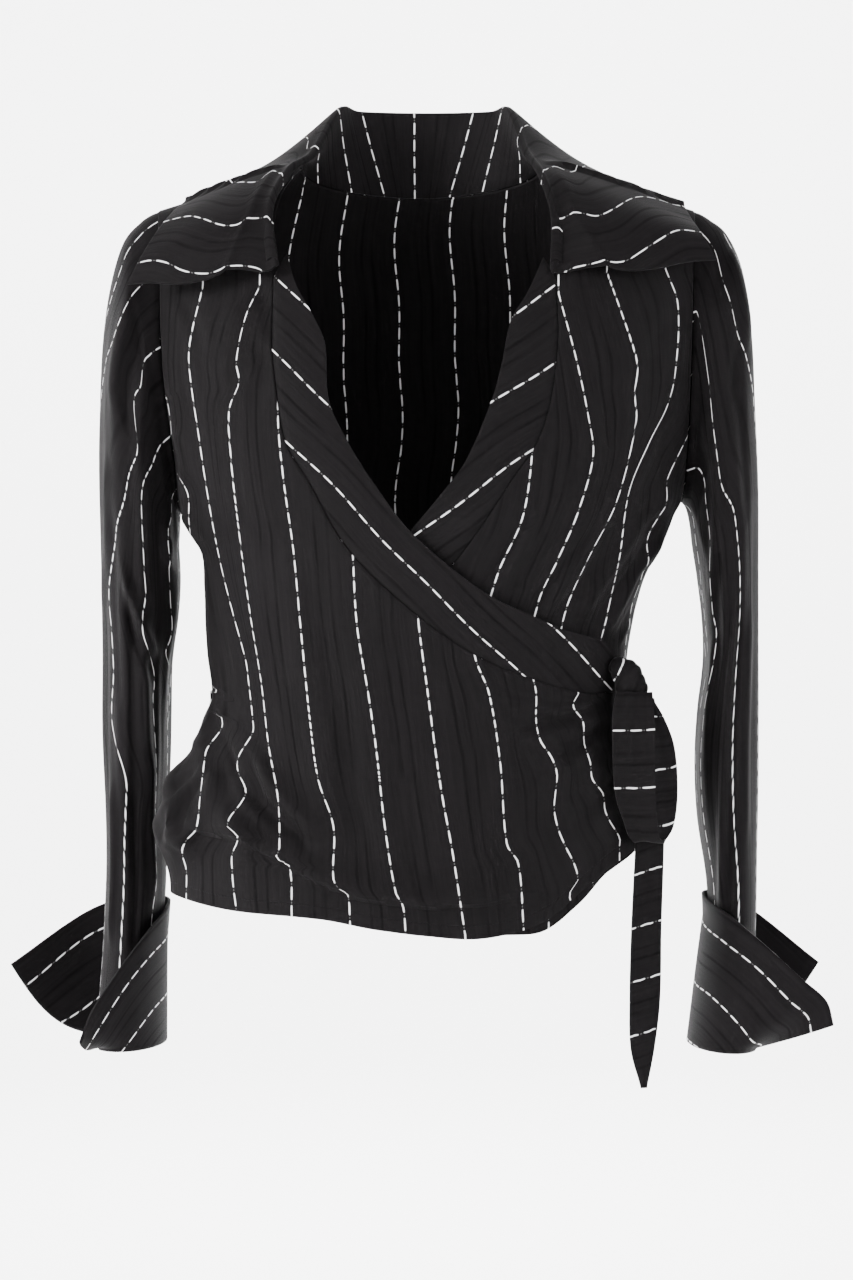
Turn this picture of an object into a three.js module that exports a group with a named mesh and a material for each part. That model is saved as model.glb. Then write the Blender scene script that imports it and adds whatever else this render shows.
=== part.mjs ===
// A long-sleeved wrap top in the hollow form it has when worn, at its real size in millimetres.
// The wearer's right front crosses over the left front and ends in a tie, knotted at the wearer's
// left waist with the tie that comes round the back. Frame: +X is the wearer's left, -Y is the
// front and +Z is up; the origin is midway between the shoulders, at the height where they carry it.
import * as THREE from "three";

// Driving dimensions
const cloth = 1.6; // wall thickness of a single layer
const cuffCloth = 2.0; // the cuffs are two layers
const seamInset = 0.25; // each piece stops this far short of its seam line
const sectionPower = 2.3; // superellipse power of the torso's sections
const shoulder = { x: 193, z: -19 }; // shoulder tip, on both sides
const shoulderSlope = 0.3025; // fall of the shoulder line per mm of width
const shoulderRound = 120; // how far below the shoulder line the chest reaches its full depth
const underarm = { right: -235, left: -228 };
const neckPoint = { right: -90, left: 83 }; // where the shoulder seam meets the collar
const backNeckDrop = 14; // fall of the back neckline below the neck points
const overLift = 6; // the overlapping front lies this far outside the front beneath it
const sideRows = 15; // grid rows up the side seam
const armRows = 13; // grid rows up each half of an armhole
const hiddenRows = 5; // rows up the overlapping front's short end, beside the knot
const neckRows = 5; // rows up the front neckline
const panelRows = sideRows + armRows;
const bandRows = panelRows - hiddenRows - neckRows;

// Half widths and half depths of the torso at each height
const torsoSections = [
  { z: -560, right: 184, left: 158, front: 120, back: 108 },
  { z: -505, right: 183, left: 157, front: 120, back: 108 },
  { z: -470, right: 178, left: 153, front: 117, back: 100 },
  { z: -440, right: 171, left: 149, front: 113, back: 92 },
  { z: -410, right: 162, left: 146, front: 109, back: 85 },
  { z: -380, right: 152, left: 143, front: 106, back: 80 },
  { z: -350, right: 152, left: 143, front: 108, back: 80 },
  { z: -320, right: 154, left: 147, front: 112, back: 84 },
  { z: -290, right: 155, left: 154, front: 117, back: 90 },
  { z: -262, right: 158, left: 166, front: 121, back: 95 },
  { z: -240, right: 173, left: 176, front: 124, back: 99 },
  { z: -228, right: 180, left: 183, front: 124, back: 101 },
  { z: -200, right: 187, left: 190, front: 121, back: 104 },
  { z: -160, right: 198, left: 199, front: 114, back: 105 },
  { z: -120, right: 205, left: 206, front: 106, back: 104 },
  { z: -60, right: 212, left: 212, front: 92, back: 96 },
  { z: -16, right: 214, left: 214, front: 80, back: 88 },
  { z: 45, right: 214, left: 214, front: 70, back: 80 },
];

// Points on the front, seen from the front, as x and z
const overSeam = [[126, -364], [105, -364], [71, -354], [34, -338], [-10, -307], [-51, -267],
  [-81, -217], [-95, -193], [-102, -156], [-106, -121], [-106, -78]];
const overEdge = [[129, -341], [118, -328], [90, -319], [71, -310], [45, -298], [18, -279], [-11, -253],
  [-35, -222], [-53, -193], [-66, -164], [-69, -125], [-76, -108], [-90, -82], [-97, -59]];
const underSeam = [[-126, -384], [-102, -372], [-70, -352], [-38, -328], [-6, -300], [20, -274], [42, -244],
  [58, -219], [74, -196], [83, -173], [88, -148], [91, -116], [90, -79]];
const underEdge = [[-128, -346], [-100, -334], [-70, -312], [-40, -284], [-11, -253], [11, -227], [27, -205],
  [45, -162], [52, -136], [58, -108], [70, -87], [81, -62]];
const overHem = [[-184, -505], [-168, -508], [-131, -514], [-71, -518], [-31, -525], [27, -531], [58, -527],
  [80, -519], [104, -500], [127, -482], [148, -465]];
const underHem = [[-120, -511], [-60, -516], [0, -527], [58, -529], [80, -527], [104, -510], [127, -488],
  [156, -468]];
const backHem = { right: -505, left: -468, centre: -492 };
const rightNeckline = [[-106, -78], [-107, -45], [-103, -14], [neckPoint.right, 0]];
const leftNeckline = [[90, -79], [91, -45], [88, -12], [neckPoint.left, 0]];

// Folds that stand out from the cloth, from angle q0 and height z0 to q1 and z1. Angles run round
// the torso in degrees: 0 is the front, 90 the wearer's left side and 180 the back.
const overFolds = [
  { q0: -70, z0: -436, q1: -73, z1: -462, wide: 24, high0: 18, high1: 21 }, // blouson over the right hip
  { q0: -84, z0: -390, q1: -60, z1: -470, wide: 11, high0: 3, high1: 7 },
  { q0: -74, z0: -384, q1: -40, z1: -468, wide: 10, high0: 3, high1: 6 },
  { q0: -66, z0: -376, q1: -22, z1: -452, wide: 9, high0: 2, high1: 4 },
  { q0: 56, z0: -378, q1: 22, z1: -404, wide: 8, high0: 4, high1: 1 },
  { q0: 60, z0: -402, q1: 24, z1: -436, wide: 9, high0: 5, high1: 1 },
  { q0: 66, z0: -428, q1: 34, z1: -470, wide: 9, high0: 5, high1: 1 },
  { q0: 72, z0: -450, q1: 44, z1: -500, wide: 9, high0: 4, high1: 2 },
];
const underFolds = [
  { q0: 31, z0: -286, q1: 44, z1: -226, wide: 10, high0: 6, high1: 2 },
  { q0: 44, z0: -300, q1: 60, z1: -240, wide: 9, high0: 6, high1: 2 },
  { q0: 58, z0: -312, q1: 76, z1: -262, wide: 8, high0: 5, high1: 2 },
  { q0: 56, z0: -120, q1: 50, z1: -190, wide: 12, high0: 4, high1: 1 },
];
const backFolds = [
  { q0: 168, z0: -352, q1: 172, z1: -300, wide: 10, high0: 5, high1: 1 },
  { q0: -168, z0: -356, q1: -160, z1: -296, wide: 10, high0: 6, high1: 1 },
  { q0: 146, z0: -350, q1: 140, z1: -292, wide: 10, high0: 5, high1: 1 },
  { q0: -146, z0: -360, q1: -138, z1: -300, wide: 9, high0: 5, high1: 1 },
  { q0: -156, z0: -398, q1: -158, z1: -470, wide: 13, high0: 7, high1: 2 },
  { q0: 178, z0: -396, q1: 178, z1: -464, wide: 14, high0: 7, high1: 2 },
  { q0: 152, z0: -392, q1: 150, z1: -456, wide: 12, high0: 6, high1: 2 },
  { q0: -128, z0: -398, q1: -122, z1: -478, wide: 14, high0: 10, high1: 3 },
  { q0: 124, z0: -386, q1: 120, z1: -446, wide: 12, high0: 6, high1: 2 },
];

// Each sleeve section: its outer and inner points seen from the front, its middle's depth and its half depth
const leftSleeve = [
  { outX: 193, outZ: -19, inX: 183, inZ: -228, midY: 0, deep: 50 },
  { outX: 203, outZ: -25, inX: 186, inZ: -231, midY: 0, deep: 54 },
  { outX: 215.5, outZ: -36, inX: 188, inZ: -236, midY: 0, deep: 59 },
  { outX: 226, outZ: -62, inX: 190, inZ: -246, midY: 0, deep: 63 },
  { outX: 232, outZ: -105, inX: 192, inZ: -262, midY: 0, deep: 66 },
  { outX: 234, outZ: -157, inX: 196, inZ: -284, midY: 0, deep: 66 },
  { outX: 236, outZ: -214, inX: 200, inZ: -312, midY: 1, deep: 65 },
  { outX: 236, outZ: -272, inX: 201, inZ: -344, midY: 2, deep: 63 },
  { outX: 236, outZ: -330, inX: 197, inZ: -380, midY: 3, deep: 61 },
  { outX: 236, outZ: -388, inX: 195, inZ: -418, midY: 3, deep: 58 },
  { outX: 237, outZ: -444, inX: 196, inZ: -458, midY: 2, deep: 56 },
  { outX: 237, outZ: -498, inX: 202, inZ: -502, midY: 0, deep: 52 },
  { outX: 236, outZ: -546, inX: 203, inZ: -544, midY: -2, deep: 49 },
  { outX: 236, outZ: -584, inX: 198, inZ: -582, midY: -4, deep: 48 },
  { outX: 235, outZ: -617, inX: 191, inZ: -615, midY: -4, deep: 50 },
];
const rightSleeve = [
  { outX: -193, outZ: -19, inX: -180, inZ: -235, midY: 0, deep: 50 },
  { outX: -205.5, outZ: -27, inX: -181, inZ: -238, midY: 1, deep: 54 },
  { outX: -218.5, outZ: -43, inX: -180, inZ: -243, midY: 2, deep: 60 },
  { outX: -228, outZ: -78, inX: -179, inZ: -252, midY: 4, deep: 65 },
  { outX: -233, outZ: -123, inX: -179, inZ: -266, midY: 6, deep: 68 },
  { outX: -234, outZ: -177, inX: -179, inZ: -286, midY: 10, deep: 68 },
  { outX: -233, outZ: -232, inX: -182, inZ: -312, midY: 15, deep: 66 },
  { outX: -232, outZ: -288, inX: -187, inZ: -344, midY: 21, deep: 63 },
  { outX: -232, outZ: -342, inX: -188, inZ: -380, midY: 27, deep: 60 },
  { outX: -233, outZ: -396, inX: -189, inZ: -420, midY: 32, deep: 56 },
  { outX: -233, outZ: -448, inX: -191, inZ: -460, midY: 34, deep: 53 },
  { outX: -233, outZ: -500, inX: -190, inZ: -502, midY: 27, deep: 50 },
  { outX: -234, outZ: -546, inX: -192, inZ: -544, midY: 16, deep: 47 },
  { outX: -236, outZ: -584, inX: -193, inZ: -582, midY: 8, deep: 46 },
  { outX: -237, outZ: -617, inX: -191, inZ: -615, midY: 4, deep: 48 },
];
// Soft folds down a sleeve: turn is the angle from its inner side, over the front
const leftSleeveFolds = [
  { turn0: 36, row0: 2, turn1: 62, row1: 6, wide: 15, high: 5 },
  { turn0: 30, row0: 6, turn1: 44, row1: 12, wide: 13, high: 5 },
  { turn0: 100, row0: 6, turn1: 84, row1: 13, wide: 15, high: 5 },
  { turn0: 140, row0: 3, turn1: 150, row1: 12, wide: 18, high: 4 },
  { turn0: 236, row0: 3, turn1: 246, row1: 11, wide: 20, high: 5 },
  { turn0: 306, row0: 4, turn1: 296, row1: 12, wide: 18, high: 5 },
];
const rightSleeveFolds = [
  { turn0: 48, row0: 2, turn1: 26, row1: 6, wide: 15, high: 5 },
  { turn0: 70, row0: 4, turn1: 58, row1: 12, wide: 14, high: 5 },
  { turn0: 118, row0: 2, turn1: 108, row1: 9, wide: 16, high: 5 },
  { turn0: 160, row0: 6, turn1: 148, row1: 13, wide: 16, high: 4 },
  { turn0: 232, row0: 3, turn1: 240, row1: 12, wide: 20, high: 5 },
  { turn0: 300, row0: 4, turn1: 308, row1: 11, wide: 18, high: 5 },
];

// Each cuff's free edge. turn is the angle round the sleeve's end where that part is folded up;
// the cuff is split at the outer side, so its ends stand off as two wings. bow swells it outwards and
// drop lets it sag.
const leftCuff = [
  { turn: 146, x: 284, y: -66, z: -597, bow: 2, drop: 0 },
  { turn: 134, x: 279, y: -71, z: -580, bow: 4, drop: 0 },
  { turn: 116, x: 262, y: -76, z: -564, bow: 6, drop: 0 },
  { turn: 90, x: 238, y: -72, z: -542, bow: 6, drop: 0 },
  { turn: 48, x: 214, y: -50, z: -522, bow: 3, drop: 0 },
  { turn: 0, x: 201, y: -4, z: -512, bow: 0, drop: 0 },
  { turn: -50, x: 212, y: 46, z: -512, bow: 3, drop: 0 },
  { turn: -94, x: 240, y: 62, z: -526, bow: 5, drop: 2 },
  { turn: -146, x: 289, y: 52, z: -565, bow: 5, drop: 6 },
];
const rightCuff = [
  { turn: 138, x: -240, y: -74, z: -608, bow: 5, drop: 3 },
  { turn: 116, x: -232, y: -74, z: -586, bow: 6, drop: 3 },
  { turn: 84, x: -213, y: -60, z: -556, bow: 5, drop: 2 },
  { turn: 44, x: -195, y: -30, z: -532, bow: 2, drop: 0 },
  { turn: 0, x: -187, y: 12, z: -520, bow: 0, drop: 0 },
  { turn: -50, x: -210, y: 72, z: -517, bow: 3, drop: 0 },
  { turn: -96, x: -250, y: 74, z: -528, bow: 4, drop: 6 },
  { turn: -146, x: -306, y: 48, z: -566, bow: 6, drop: 14 },
];

// The collar at places along the neck seam, from the right front round the back to the left front:
// where it rolls over, its outer edge, and how far its fall swells forward, back and up between them
const collarStations = [
  { at: 0.0, rollX: -103, rollY: -90, rollZ: -62, outX: -211, outY: -68, outZ: -79, ahead: 5, rise: 0 },
  { at: 0.1, rollX: -107, rollY: -70, rollZ: -24, outX: -209, outY: -60, outZ: -58, ahead: 5, rise: 1 },
  { at: 0.19, rollX: -95, rollY: -32, rollZ: 8, outX: -202, outY: -38, outZ: -33, ahead: 3, rise: 3 },
  { at: 0.27, rollX: -80, rollY: -2, rollZ: 24, outX: -192, outY: 8, outZ: -18, ahead: 0, rise: 3 },
  { at: 0.36, rollX: -61, rollY: 40, rollZ: 62, outX: -170, outY: 58, outZ: -28, ahead: -2, rise: 8 },
  { at: 0.42, rollX: -47, rollY: 56, rollZ: 62, outX: -114, outY: 94, outZ: -36, ahead: -5, rise: 5 },
  { at: 0.5, rollX: 0, rollY: 68, rollZ: 63, outX: 0, outY: 112, outZ: -40, ahead: -7, rise: 5 },
  { at: 0.58, rollX: 45, rollY: 56, rollZ: 62, outX: 114, outY: 94, outZ: -36, ahead: -5, rise: 5 },
  { at: 0.64, rollX: 58, rollY: 40, rollZ: 62, outX: 168, outY: 58, outZ: -28, ahead: -2, rise: 6 },
  { at: 0.73, rollX: 69, rollY: -5, rollZ: 26, outX: 190, outY: 10, outZ: -17, ahead: 0, rise: 2 },
  { at: 0.81, rollX: 79, rollY: -42, rollZ: 3, outX: 199, outY: -36, outZ: -32, ahead: 3, rise: 3 },
  { at: 0.9, rollX: 87, rollY: -68, rollZ: -28, outX: 204, outY: -58, outZ: -45, ahead: 5, rise: 1 },
  { at: 1.0, rollX: 86, rollY: -86, rollZ: -63, outX: 204, outY: -64, outZ: -57, ahead: 5, rise: 0 },
];

// Tie: the back stretch's height at its start, middle and end, the knot, the loop and the tail
const tieBack = { startQ: -92, endQ: 79, startZ: -378, midZ: -372, endZ: -354, half: 14, lift: 2.8 };
const knot = { x: 141, y: -70.9, z: -353.5, halfLong: 17, halfDeep: 10.5, halfWide: 9.5, slant: -50 };
const tieLoop = [
  { x: 146, y: -78, z: -365, half: 8 },
  { x: 143, y: -84, z: -377, half: 13 },
  { x: 143, y: -88, z: -402, half: 15.5 },
  { x: 144, y: -88, z: -434, half: 14.5 },
  { x: 148, y: -84, z: -458, half: 12 },
  { x: 151, y: -78, z: -470, half: 11 },
  { x: 156, y: -71, z: -473, half: 11 },
  { x: 161, y: -69, z: -462, half: 12 },
  { x: 162, y: -69, z: -434, half: 14 },
  { x: 160, y: -70, z: -402, half: 13.5 },
  { x: 156, y: -72, z: -382, half: 10 },
  { x: 152, y: -75, z: -369, half: 6 },
];
const tieTail = [
  { x: 152.5, y: -69, z: -368, half: 6 },
  { x: 156, y: -62, z: -396, half: 9 },
  { x: 157, y: -60.5, z: -440, half: 10 },
  { x: 155.5, y: -60, z: -480, half: 10.5 },
  { x: 154, y: -54, z: -530, half: 10.8 },
  { x: 153.5, y: -47, z: -582, half: 11 },
  { x: 152, y: -47, z: -616, half: 8.5 },
  { x: 153, y: -47, z: -643, half: 2 },
];

const radians = Math.PI / 180;
const lerp = (a, b, t) => a + (b - a) * t;
const clamp = (value, low, high) => Math.min(Math.max(value, low), high);
const smoothstep = (t) => clamp(t, 0, 1) ** 2 * (3 - 2 * clamp(t, 0, 1));

// A smooth curve through values ys at places xs
function through(xs, ys) {
  const last = xs.length - 1;
  const slopes = ys.map((_, i) => {
    const before = Math.max(i - 1, 0);
    const after = Math.min(i + 1, last);
    return (ys[after] - ys[before]) / (xs[after] - xs[before]);
  });
  return (value) => {
    const x = clamp(value, xs[0], xs[last]);
    let i = 0;
    while (i < last - 1 && x > xs[i + 1]) i += 1;
    const step = xs[i + 1] - xs[i];
    const t = (x - xs[i]) / step;
    return (2 * t ** 3 - 3 * t ** 2 + 1) * ys[i] + (t ** 3 - 2 * t ** 2 + t) * step * slopes[i]
      + (3 * t ** 2 - 2 * t ** 3) * ys[i + 1] + (t ** 3 - t ** 2) * step * slopes[i + 1];
  };
}

// A smooth line through points of any dimension; at 0 it is at the first and at 1 at the last
function lineThrough(points) {
  const along = [0];
  for (let i = 1; i < points.length; i += 1) {
    along.push(along[i - 1] + Math.hypot(...points[i].map((c, k) => c - points[i - 1][k])));
  }
  const total = along[along.length - 1];
  const places = along.map((a) => a / total);
  const parts = points[0].map((_, k) => through(places, points.map((p) => p[k])));
  return (t) => parts.map((part) => part(t));
}

// A table's columns as smooth functions of one of them
function columns(rows, key) {
  const places = rows.map((row) => row[key]);
  const names = Object.keys(rows[0]).filter((name) => name !== key);
  return Object.fromEntries(names.map((name) => [name, through(places, rows.map((row) => row[name]))]));
}

const sections = columns(torsoSections, "z");
const shoulderHeight = (x) => shoulder.z + (shoulder.x - Math.abs(x)) * shoulderSlope;
const halfWidth = (x, z) => (x < 0 ? sections.right(z) : sections.left(z));

// The angle q of a point of the front, from its x and z
function angleOf([x, z]) {
  const share = Math.min(Math.abs(x) / halfWidth(x, z), 1);
  return [Math.sign(x) * Math.asin(share ** (sectionPower / 2)) / radians, z];
}

// The torso's surface at angle q and height z, moved out by lift along its own normal
function torso(q, z, lift) {
  const side = Math.sin(q * radians);
  const facing = Math.cos(q * radians);
  const isFront = facing >= 0;
  const depthOf = isFront ? sections.front : sections.back;
  const widthOf = side < 0 ? sections.right : sections.left;
  const width = widthOf(z);
  const depth = depthOf(z);
  const across = Math.abs(side) ** (2 / sectionPower);
  const x = Math.sign(side) * width * across;
  const below = clamp((shoulderHeight(x) - z) / shoulderRound, 0, 1);
  const round = Math.sqrt(1 - (1 - below) ** 2);
  const fullness = 1 - across ** sectionPower;
  const turn = fullness ** (1 / sectionPower);
  const y = (isFront ? -1 : 1) * depth * turn * round;
  const top = fullness * (1 - below) / shoulderRound;
  const widthSlope = (widthOf(z + 1) - widthOf(z - 1)) / 2 / width;
  const depthSlope = (depthOf(z + 1) - depthOf(z - 1)) / 2 / depth;
  const normal = new THREE.Vector3(
    Math.sign(side) * (across ** (sectionPower - 1) / width * round ** 2 + top * shoulderSlope),
    (isFront ? -1 : 1) * turn ** (sectionPower - 1) * round / depth,
    top - round ** 2 * (across ** sectionPower * widthSlope + fullness * depthSlope),
  ).normalize();
  return { point: new THREE.Vector3(x, y, z).addScaledVector(normal, lift), normal };
}

// How far the folds of a table raise the cloth at angle q and height z
function foldHeight(folds, q, z) {
  const perDegree = 2.1; // mm round the torso per degree
  let height = 0;
  for (const fold of folds) {
    const alongQ = (fold.q1 - fold.q0) * perDegree;
    const alongZ = fold.z1 - fold.z0;
    const dq = (((q - fold.q0 + 540) % 360) - 180) * perDegree;
    const dz = z - fold.z0;
    const t = clamp((dq * alongQ + dz * alongZ) / (alongQ ** 2 + alongZ ** 2), 0, 1);
    const away = Math.hypot(dq - alongQ * t, dz - alongZ * t) / fold.wide;
    height += lerp(fold.high0, fold.high1, t) * Math.exp(-away * away);
  }
  return height;
}

// A closed wall from two grids of points, outer and inner, each a list of rows. wrap joins a row's ends.
function wall(name, outer, inner, color, wrap = false) {
  const rowCount = outer.length;
  const rowLength = outer[0].length;
  const positions = [...outer.flat(), ...inner.flat()].flatMap((p) => [p.x, p.y, p.z]);
  const innerStart = rowCount * rowLength;
  const at = (row, column) => row * rowLength + (column % rowLength);
  const faces = [];
  const quad = (a, b, c, d) => faces.push(a, b, c, a, c, d);
  const steps = wrap ? rowLength : rowLength - 1;
  for (let i = 0; i < rowCount - 1; i += 1) {
    for (let j = 0; j < steps; j += 1) {
      const [a, b, c, d] = [at(i, j), at(i, j + 1), at(i + 1, j + 1), at(i + 1, j)];
      quad(a, b, c, d);
      quad(d + innerStart, c + innerStart, b + innerStart, a + innerStart);
    }
  }
  for (let j = 0; j < steps; j += 1) {
    quad(at(0, j + 1), at(0, j), at(0, j) + innerStart, at(0, j + 1) + innerStart);
    const top = rowCount - 1;
    quad(at(top, j), at(top, j + 1), at(top, j + 1) + innerStart, at(top, j) + innerStart);
  }
  if (!wrap) {
    const end = rowLength - 1;
    for (let i = 0; i < rowCount - 1; i += 1) {
      quad(at(i, 0), at(i + 1, 0), at(i + 1, 0) + innerStart, at(i, 0) + innerStart);
      quad(at(i + 1, end), at(i, end), at(i, end) + innerStart, at(i + 1, end) + innerStart);
    }
  }
  const geometry = new THREE.BufferGeometry();
  geometry.setAttribute("position", new THREE.Float32BufferAttribute(positions, 3));
  geometry.setIndex(volumeOf(positions, faces) < 0 ? faces.reverse() : faces);
  geometry.computeVertexNormals();
  const mesh = new THREE.Mesh(geometry, new THREE.MeshStandardMaterial({ color, roughness: 0.72, metalness: 0 }));
  mesh.name = name;
  return mesh;
}

// The volume inside a list of triangles; negative when they face inwards
function volumeOf(positions, faces) {
  let total = 0;
  for (let i = 0; i < faces.length; i += 3) {
    const [a, b, c] = [0, 1, 2].map((k) => new THREE.Vector3().fromArray(positions, faces[i + k] * 3));
    total += a.dot(b.cross(c)) / 6;
  }
  return total;
}

// A wall over a grid of outer points, its inner side set in by thickness along the grid's own normals
function sheetWall(name, grid, thickness, color, wrap = false) {
  const rowCount = grid.length;
  const rowLength = grid[0].length;
  const inner = grid.map((row, i) => row.map((point, j) => {
    const before = wrap ? (j + rowLength - 1) % rowLength : Math.max(j - 1, 0);
    const after = wrap ? (j + 1) % rowLength : Math.min(j + 1, rowLength - 1);
    const along = grid[i][after].clone().sub(grid[i][before]);
    const up = grid[Math.min(i + 1, rowCount - 1)][j].clone().sub(grid[Math.max(i - 1, 0)][j]);
    return point.clone().addScaledVector(along.cross(up).normalize(), -thickness);
  }));
  return wall(name, grid, inner, color, wrap);
}

// The side line shared by a front, the back and a sleeve: row 0 is at the hem and the last row at
// the shoulder tip. facing is -1 for the front half of the armhole and 1 for the back half.
function sideLine(sideName, hemZ) {
  const sign = sideName === "right" ? -1 : 1;
  const low = underarm[sideName];
  const middle = (low + shoulder.z) / 2;
  const half = (shoulder.z - low) / 2;
  const armX = through([low, low + 30, -120, -60, shoulder.z],
    [sections[sideName](low), sections[sideName](low) + 1.5, 187, 189.5, shoulder.x]);
  return (row, facing) => {
    if (row <= sideRows) {
      return [sign * 90, lerp(hemZ, low, row / sideRows)];
    }
    const z = middle - half * Math.cos(Math.PI * (row - sideRows) / armRows);
    const [q] = angleOf([sign * Math.min(armX(z), sections[sideName](z)), z]);
    return [facing < 0 ? q : sign * 180 - q, z];
  };
}

const rightSide = sideLine("right", overHem[0][1]);
const leftSide = sideLine("left", underHem[underHem.length - 1][1]);

// A patch of the torso between four border lines, each giving angle and height: the two sides are
// given by row, and the hem and top by the share across
function patch({ name, sideA, sideB, hem, top, columnCount, liftOf, color }) {
  const outer = [];
  const inner = [];
  for (let row = 0; row <= panelRows; row += 1) {
    const t = row / panelRows;
    const outerRow = [];
    const innerRow = [];
    for (let column = 0; column <= columnCount; column += 1) {
      const s = column / columnCount;
      const [q, z] = [0, 1].map((k) => lerp(sideA(row)[k], sideB(row)[k], s) + lerp(hem(s)[k], top(s)[k], t)
        - lerp(lerp(sideA(0)[k], sideB(0)[k], s), lerp(sideA(panelRows)[k], sideB(panelRows)[k], s), t));
      const { point, normal } = torso(q, z, liftOf(q, z, s));
      outerRow.push(point);
      innerRow.push(point.clone().addScaledVector(normal, -cloth));
    }
    outer.push(outerRow);
    inner.push(innerRow);
  }
  insetEnds(outer, inner);
  return wall(name, outer, inner, color);
}

// Draws the four borders of a panel in by the seam inset, so that sewn pieces stay apart
function insetEnds(outer, inner) {
  const pull = (rows, i, j, toI, toJ) => {
    const from = rows[i][j];
    from.addScaledVector(rows[toI][toJ].clone().sub(from).normalize(), seamInset);
  };
  const last = outer.length - 1;
  const end = outer[0].length - 1;
  for (const rows of [outer, inner]) {
    for (let i = 0; i <= last; i += 1) {
      pull(rows, i, 0, i, 1);
      pull(rows, i, end, i, end - 1);
    }
    for (let j = 0; j <= end; j += 1) {
      pull(rows, 0, j, 1, j);
      pull(rows, last, j, last - 1, j);
    }
  }
}

// The front's inner side, by row: up its short end, along the band's seam, then up the neckline
function frontOpening(endLine, seamLine, neckLine) {
  return (row) => {
    if (row <= hiddenRows) {
      return angleOf(endLine(row / hiddenRows));
    }
    if (row <= hiddenRows + bandRows) {
      return angleOf(seamLine((row - hiddenRows) / bandRows));
    }
    return angleOf(neckLine((row - hiddenRows - bandRows) / neckRows));
  };
}

const atShoulder = (x) => [x, shoulderHeight(x)];
const toShoulder = (points) => [...points.slice(0, -1), atShoulder(points[points.length - 1][0])];
const overSeamLine = lineThrough(overSeam);
const underSeamLine = lineThrough(underSeam);
const overEndLine = lineThrough([overHem[overHem.length - 1], [144, -440], [135, -400], overSeam[0]]);
const underEndLine = lineThrough([underHem[0], [-124, -450], underSeam[0]]);
const overOpening = frontOpening(overEndLine, overSeamLine, lineThrough(toShoulder(rightNeckline)));
const underOpening = frontOpening(underEndLine, underSeamLine, lineThrough(toShoulder(leftNeckline)));
// A hem by the share of the way round it, from points seen from the front
function hemLine(points) {
  const line = lineThrough(points.map((point) => [angleOf(point)[0] * 2, point[1]]));
  return (s) => {
    const [doubleAngle, z] = line(s);
    return [doubleAngle / 2, z];
  };
}
const overHemLine = hemLine(overHem);
const underHemLine = hemLine([...underHem].reverse());

// The overlapping front leaves its side seam and armhole flush with the torso and then rises over the
// other front. s is the share of the way across from that side. Its lift fades towards the neckline.
const overLiftOf = (q, z, s) => overLift * smoothstep(s / 0.2) * smoothstep((-40 - z) / 120)
  + foldHeight(overFolds, q, z) * smoothstep(s / 0.08);
const underLiftOf = (q, z, s) => foldHeight(underFolds, q, z) * smoothstep((q + 2) / 30) * smoothstep(s / 0.12);
// The back's folds flatten beneath the tie
const tieHeight = through([-270, -180, -90], [tieBack.endZ, tieBack.midZ, tieBack.startZ]);
const backLiftOf = (q, z) => foldHeight(backFolds, q, z) * smoothstep((Math.abs(z - tieHeight(q)) - 22) / 22);

const black = "#17181a";
const frontRight = patch({
  name: "front_right",
  sideA: (row) => rightSide(row, -1),
  sideB: overOpening,
  hem: (s) => (s === 0 ? rightSide(0, -1) : overHemLine(s)),
  top: (s) => angleOf(atShoulder(lerp(-shoulder.x, neckPoint.right, s))),
  columnCount: 24,
  liftOf: overLiftOf,
  color: black,
});
const frontLeft = patch({
  name: "front_left",
  sideA: (row) => leftSide(row, -1),
  sideB: underOpening,
  hem: (s) => (s === 0 ? leftSide(0, -1) : underHemLine(s)),
  top: (s) => angleOf(atShoulder(lerp(shoulder.x, neckPoint.left, s))),
  columnCount: 20,
  liftOf: underLiftOf,
  color: black,
});

// The back's top line: shoulder seam, back neckline, shoulder seam
const backColumns = { shoulder: 5, neck: 10 };
const backColumnCount = 2 * backColumns.shoulder + backColumns.neck;
function backTop(s) {
  const column = s * backColumnCount;
  const neckStart = backColumns.shoulder;
  const neckEnd = backColumns.shoulder + backColumns.neck;
  let x = 0;
  let drop = 0;
  if (column <= neckStart) {
    x = lerp(-shoulder.x, neckPoint.right, column / neckStart);
  } else if (column >= neckEnd) {
    x = lerp(neckPoint.left, shoulder.x, (column - neckEnd) / neckStart);
  } else {
    const share = (column - neckStart) / backColumns.neck;
    x = lerp(neckPoint.right, neckPoint.left, share);
    const level = lerp(shoulderHeight(neckPoint.right), shoulderHeight(neckPoint.left), share);
    const depthShare = Math.sqrt(1 - (2 * share - 1) ** 2);
    drop = shoulderHeight(x) - level + backNeckDrop * depthShare;
  }
  const [q, z] = angleOf([x, shoulderHeight(x) - drop]);
  return [-180 - q, z];
}
// Angles on the back run from -90 at the wearer's right side to -270 at the left side
const backLeftSide = (row) => {
  const [q, z] = leftSide(row, 1);
  return [q - 360, z];
};
const backHemLine = through([0, 0.5, 1], [backHem.right, backHem.centre, backHem.left]);
const back = patch({
  name: "back",
  sideA: (row) => rightSide(row, 1),
  sideB: backLeftSide,
  hem: (s) => [lerp(-90, -270, s), s === 0 || s === 1 ? (s ? leftSide(0, 1)[1] : rightSide(0, 1)[1]) : backHemLine(s)],
  top: backTop,
  columnCount: backColumnCount,
  liftOf: backLiftOf,
  color: black,
});

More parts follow.
